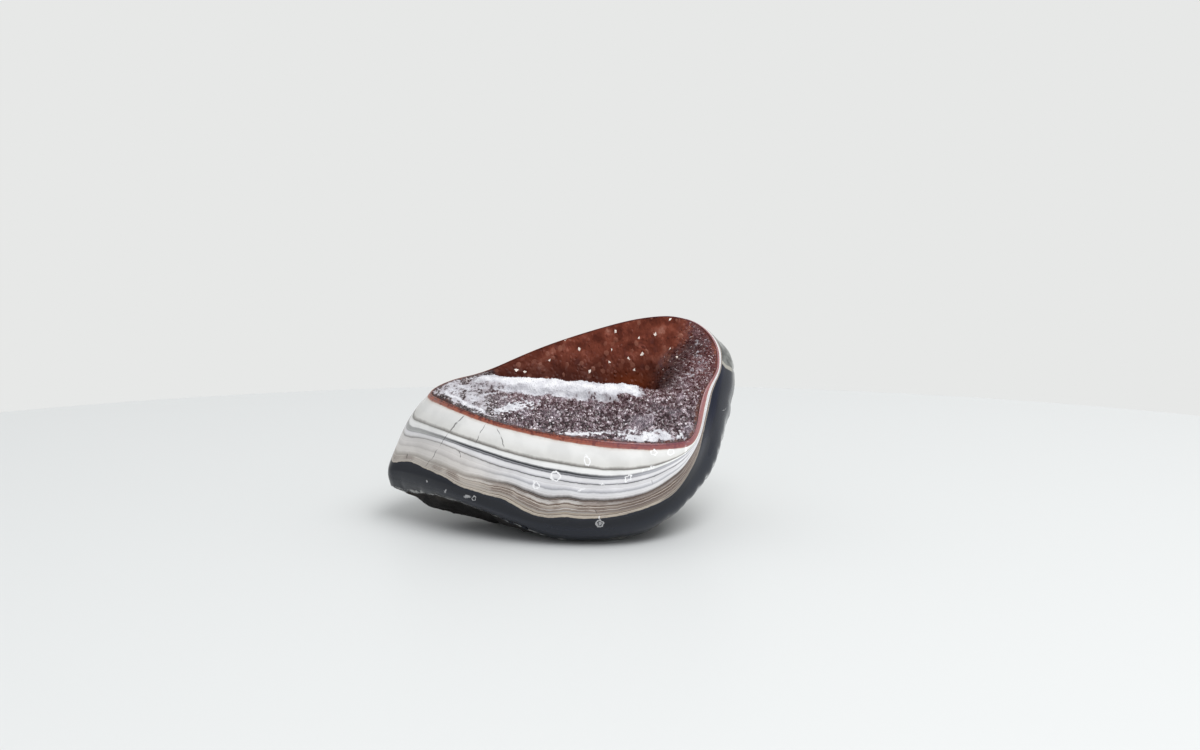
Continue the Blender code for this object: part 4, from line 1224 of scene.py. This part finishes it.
def crystal_sites(druse, fine):
    """Places for crystal tips, none nearer to another than its own spacing, in a seeded order."""
    draw = np.random.default_rng(SITE_SEED)
    column = draw.uniform(0, len(druse.ways), SITE_TRIES)
    share = 1 - np.sqrt(draw.random(SITE_TRIES))
    points = druse.read(druse.points, column, share)
    spacing = crystal_spacing(Zones(points, share * druse.length(column)), fine)
    room = share * druse.length(column) > EDGE_ROOM * spacing
    cells = np.floor(points / (CELL_SIZE * fine)).astype(int).tolist()
    around = list(itertools.product((-1, 0, 1), repeat=3))
    taken = {}
    chosen = []
    for number, (point, cell, apart) in enumerate(zip(points.tolist(), cells, spacing.tolist())):
        near = ((cell[0] + dx, cell[1] + dy, cell[2] + dz) for dx, dy, dz in around)
        others = (other for key in near for other in taken.get(key, ()))
        if room[number] and all(math.dist(point, other) >= apart for other in others):
            taken.setdefault(tuple(cell), []).append(point)
            chosen.append(number)
    return column[chosen], share[chosen], spacing[chosen]


def build_crust(fine, rise):
    """The druse: every site is a crystal tip, and the facets of neighbours meet in valleys between them."""
    lip = lip_ring()
    size = len(lip)
    druse = Druse(lip)
    column, share, spacing = crystal_sites(druse, fine)
    column = np.concatenate([np.arange(size), column])
    share = np.concatenate([np.zeros(size), share])
    spacing = np.concatenate([np.full(size, fine), spacing])
    flat = druse.flat(column, share)
    spread = [Vector(place) for place in flat.tolist()]
    triangles, originals = delaunay_2d_cdt(spread, [], [list(range(size))], 1, TINY)[2:4]
    first = np.array([ids[0] for ids in originals])
    triangles = first[np.array(triangles)]

    points = druse.read(druse.points, column, share)
    normals = unit(druse.read(druse.normals, column, share))
    down = share * druse.length(column)
    zones = Zones(points, down)
    draw = np.random.default_rng(SHAPE_SEED)
    fade = ramp(down, 0.0, EDGE_RUN)
    white = zones.powder > WHITE_FROM
    points = points + normals * (zones.lumps * fade)[:, None]
    flatter = mix(1.0, WALL_HEIGHT, zones.iron)
    height = spacing * rise * draw.uniform(*HEIGHT_SPREAD, len(points)) * mix(1.0, WHITE_HEIGHT, white)
    height *= flatter
    reach = spacing * mix(1.0, WALL_LEAN, zones.iron)
    lean = draw.normal(0, LEAN_SPREAD, (len(points), 3)) * reach[:, None]
    tips = points + normals * (height * mix(EDGE_HEIGHT, 1.0, fade))[:, None]
    tips += lean * mix(EDGE_LEAN, 1.0, fade)[:, None]
    tips[:size] = points[:size]
    dip = spacing * mix(VALLEY_DEPTH, WHITE_VALLEY_DEPTH, white) * flatter * mix(EDGE_VALLEY, 1.0, fade)
    middle, way, depth = (table[triangles].mean(axis=1) for table in (points, normals, dip))
    valleys = middle - way * depth[:, None]

    body = Body()
    start = body.ring(tips)
    low = body.ring(valleys)
    shared = {}
    for number, corners in enumerate(triangles.tolist()):
        for place in range(3):
            a, b = corners[place], corners[(place + 1) % 3]
            shared.setdefault((min(a, b), max(a, b)), []).append((a, b, low + number))
    faces = []
    owners = []
    for sides in shared.values():
        a, b, valley = sides[0]
        if len(sides) == 1:
            faces.append((a, b, valley))
            owners.append(a)
        else:
            other = sides[1][2]
            faces += [(a, other, valley), (b, valley, other)]
            owners += [a, b]
    body.faces.append(np.array(faces))

    under = seated_rings(lip, CRUST_INSET, 0.0)
    starts = [start] + [body.ring(ring) for ring in under]
    for upper, lower in zip(starts, starts[1:]):
        body.band(lower, upper, size)
    body.fan(starts[-1], size, body.ring([hollow_pole() - np.array(SEAT_WAY) * CRUST_THICKNESS]))
    mesh = body.mesh("crystal_druse")

    everywhere = np.concatenate(body.points)
    top = Zones(everywhere[: len(tips) + len(valleys)], np.concatenate([down, down[triangles].mean(axis=1)]))
    spare = len(everywhere) - len(top.iron)
    for name in ("powder", "iron", "amber", "shade"):
        keep(mesh, name, np.append(getattr(top, name), np.zeros(spare)))
    hidden = len(mesh.polygons) - len(owners)
    grain = draw.random(len(tips))
    keep(mesh, "grain", np.append(grain[owners], np.zeros(hidden)), "FACE")
    keep(mesh, "facet", np.append(draw.random(len(owners)), np.zeros(hidden)), "FACE")
    middles = everywhere[np.array(faces)].mean(axis=1) - DATUM
    bright = np.zeros(len(owners) + hidden)
    for place in GLINT_PLACES:
        away = np.linalg.norm(middles - np.array(place) * MM, axis=1)
        bright[: len(away)][away <= max(away.min(), GLINT_RADIUS)] = 1.0
    keep(mesh, "glint", bright, "FACE")
    dress(placed("crystal_druse", mesh, quartz_druse()), "crystal_crust")


FLOOR_RADIUS = 0.50
FLOOR_CENTRE = (0.005, -0.312, 0.0)
FLOOR_THICKNESS = 0.02
FLOOR_SIDES = 128
CAMERA_PLACE = (0.0113, -0.5986, 0.1711)
CAMERA_PITCH = math.radians(78)
CAMERA_LENS = 63.0
LIGHT_AIM = (0.0, 0.0, 0.03)
# Soft lights as (name, place, width and height, power in watts).
LIGHTS = (
    ("light_overhead", (0.45, -0.16, 0.95), (0.6, 0.6), 3.4),
    ("light_front", (0.20, -0.60, 1.0), (0.6, 0.6), 5.6),
    ("light_window", (0.85, -0.14, 0.09), (0.24, 0.05), 0.42),
)
# Where the pale wall lies, and how far round to the front it has turned to the dim one.
PALE_WALL_WAY = (0.15, 1.0, 0.25)
WALL_TURN = (-0.3, 0.6)


def white_tabletop():
    """Matt white lacquered board: an even pale grey with a faint soft sheen."""
    material, _, shader = new_material("white_tabletop")
    shader.inputs["Base Color"].default_value = linear("#d9dbdb")
    shader.inputs["Roughness"].default_value = 0.5
    return material


def build_floor(radius):
    """A round table top that the stone stands on."""
    body = Body()
    turn = np.linspace(0, 2 * math.pi, FLOOR_SIDES + 1)[:-1]
    circle = np.stack([np.cos(turn) * radius, np.sin(turn) * radius, np.zeros(FLOOR_SIDES)], axis=1)
    centre = DATUM + FLOOR_CENTRE
    under = centre - (0.0, 0.0, FLOOR_THICKNESS)
    starts = [body.ring(circle + centre), body.ring(circle + under)]
    body.band(*starts, FLOOR_SIDES)
    for start, middle in zip(starts, (centre, under)):
        body.fan(start, FLOOR_SIDES, body.ring([middle]))
    floor = placed("table_top", body.mesh("table_top"), white_tabletop())


def studio_walls(pale, dim):
    """Plain walls all round the table: pale behind it and to the right, dim on the side of the camera."""
    world = bpy.data.worlds.new("studio_walls")
    world.use_nodes = True
    tree = world.node_tree
    way = add(tree, "TexCoord").node.outputs["Generated"]
    back = add(tree, "VectorMath:DOT_PRODUCT", way, PALE_WALL_WAY)
    colour = add(tree, "Mix:RGBA", zone(tree, (back, *WALL_TURN)), (*dim, 1.0), (*pale, 1.0))
    tree.links.new(colour, tree.nodes["Background"].inputs["Color"])
    bpy.context.scene.world = world


def softbox(name, place, size, power):
    """A soft light that looks at the specimen."""
    light = bpy.data.lights.new(name, "AREA")
    light.shape = "RECTANGLE"
    light.size, light.size_y = size
    light.energy = power
    obj = bpy.data.objects.new(name, light)
    obj.location = place
    obj.rotation_euler = (Vector(LIGHT_AIM) - Vector(place)).to_track_quat("-Z", "Y").to_euler()
    bpy.context.scene.collection.objects.link(obj)
    return obj


class GeodeStoneSizes(bpy.types.PropertyGroup):
    """Sizes of the agate body."""

    rows: bpy.props.IntProperty(
        name="Husk rows", description="Rows of faces down the natural husk", default=SKIN_ROWS, min=8
    )


class GeodeCrustSizes(bpy.types.PropertyGroup):
    """Sizes of the crystal crust."""

    spacing: bpy.props.FloatProperty(
        name="Grain",
        description="Spacing of the fine crystals",
        default=FINE_SPACING,
        subtype="DISTANCE",
        unit="LENGTH",
    )
    rise: bpy.props.FloatProperty(
        name="Steepness",
        description="Height of a crystal as a share of its spacing",
        default=STEEPNESS,
        subtype="FACTOR",
    )


class GeodeStageSizes(bpy.types.PropertyGroup):
    """The plain studio."""

    radius: bpy.props.FloatProperty(
        name="Table radius",
        description="Radius of the round table top",
        default=FLOOR_RADIUS,
        subtype="DISTANCE",
        unit="LENGTH",
    )
    pale: bpy.props.FloatVectorProperty(
        name="Wall behind",
        description="Colour of the plain wall behind the table",
        default=linear("#e7e8e7")[:3],
        subtype="COLOR",
    )
    dim: bpy.props.FloatVectorProperty(
        name="Wall in front",
        description="Colour of the room on the camera's side",
        default=linear("#b8b9bc")[:3],
        subtype="COLOR",
    )


class GEODE_OT_agate_body(bpy.types.Operator):
    """Builds the banded agate body"""

    bl_idname = "geode.agate_body"
    bl_label = "Agate body"

    def execute(self, context):
        build_agate(context.scene.geode_stone.rows)
        return {"FINISHED"}


class GEODE_OT_crystal_druse(bpy.types.Operator):
    """Grows the crystal crust in the hollow"""

    bl_idname = "geode.crystal_druse"
    bl_label = "Crystal crust"

    def execute(self, context):
        sizes = context.scene.geode_crust
        build_crust(sizes.spacing, sizes.rise)
        return {"FINISHED"}


class GEODE_OT_stage(bpy.types.Operator):
    """Sets up the table, the soft light and the camera"""

    bl_idname = "geode.stage"
    bl_label = "Studio"

    def execute(self, context):
        scene = context.scene
        sizes = scene.geode_stage
        build_floor(sizes.radius)
        for name, place, size, power in LIGHTS:
            softbox(name, place, size, power)
        studio_walls(sizes.pale, sizes.dim)
        camera = bpy.data.objects.new("camera", bpy.data.cameras.new("camera"))
        camera.location = CAMERA_PLACE
        camera.rotation_euler = (CAMERA_PITCH, 0.0, 0.0)
        camera.data.lens = CAMERA_LENS
        camera.data.clip_start = 0.01
        scene.collection.objects.link(camera)
        scene.camera = camera
        scene.view_settings.view_transform = "Standard"
        return {"FINISHED"}


class GEODE_PT_build(bpy.types.Panel):
    """Lists the geode's operators and sizes"""

    bl_idname = "GEODE_PT_build"
    bl_label = "Geode"
    bl_space_type = "VIEW_3D"
    bl_region_type = "UI"
    bl_category = "Geode"

    def draw(self, context):
        for group in ("geode_stone", "geode_crust", "geode_stage"):
            sizes = getattr(context.scene, group)
            for name in sizes.bl_rna.properties.keys():
                if name not in ("rna_type", "name"):
                    self.layout.prop(sizes, name)
        for operator in (GEODE_OT_agate_body, GEODE_OT_crystal_druse, GEODE_OT_stage):
            self.layout.operator(operator.bl_idname)


CLASSES = (
    GeodeStoneSizes,
    GeodeCrustSizes,
    GeodeStageSizes,
    GEODE_OT_agate_body,
    GEODE_OT_crystal_druse,
    GEODE_OT_stage,
    GEODE_PT_build,
)


def register():
    for item in CLASSES:
        bpy.utils.register_class(item)
    bpy.types.Scene.geode_stone = bpy.props.PointerProperty(type=GeodeStoneSizes)
    bpy.types.Scene.geode_crust = bpy.props.PointerProperty(type=GeodeCrustSizes)
    bpy.types.Scene.geode_stage = bpy.props.PointerProperty(type=GeodeStageSizes)


def unregister():
    del bpy.types.Scene.geode_stage
    del bpy.types.Scene.geode_crust
    del bpy.types.Scene.geode_stone
    for item in reversed(CLASSES):
        bpy.utils.unregister_class(item)


def main():
    register()
    bpy.ops.geode.agate_body()
    bpy.ops.geode.crystal_druse()
    bpy.ops.geode.stage()


if __name__ == "__main__":
    main()
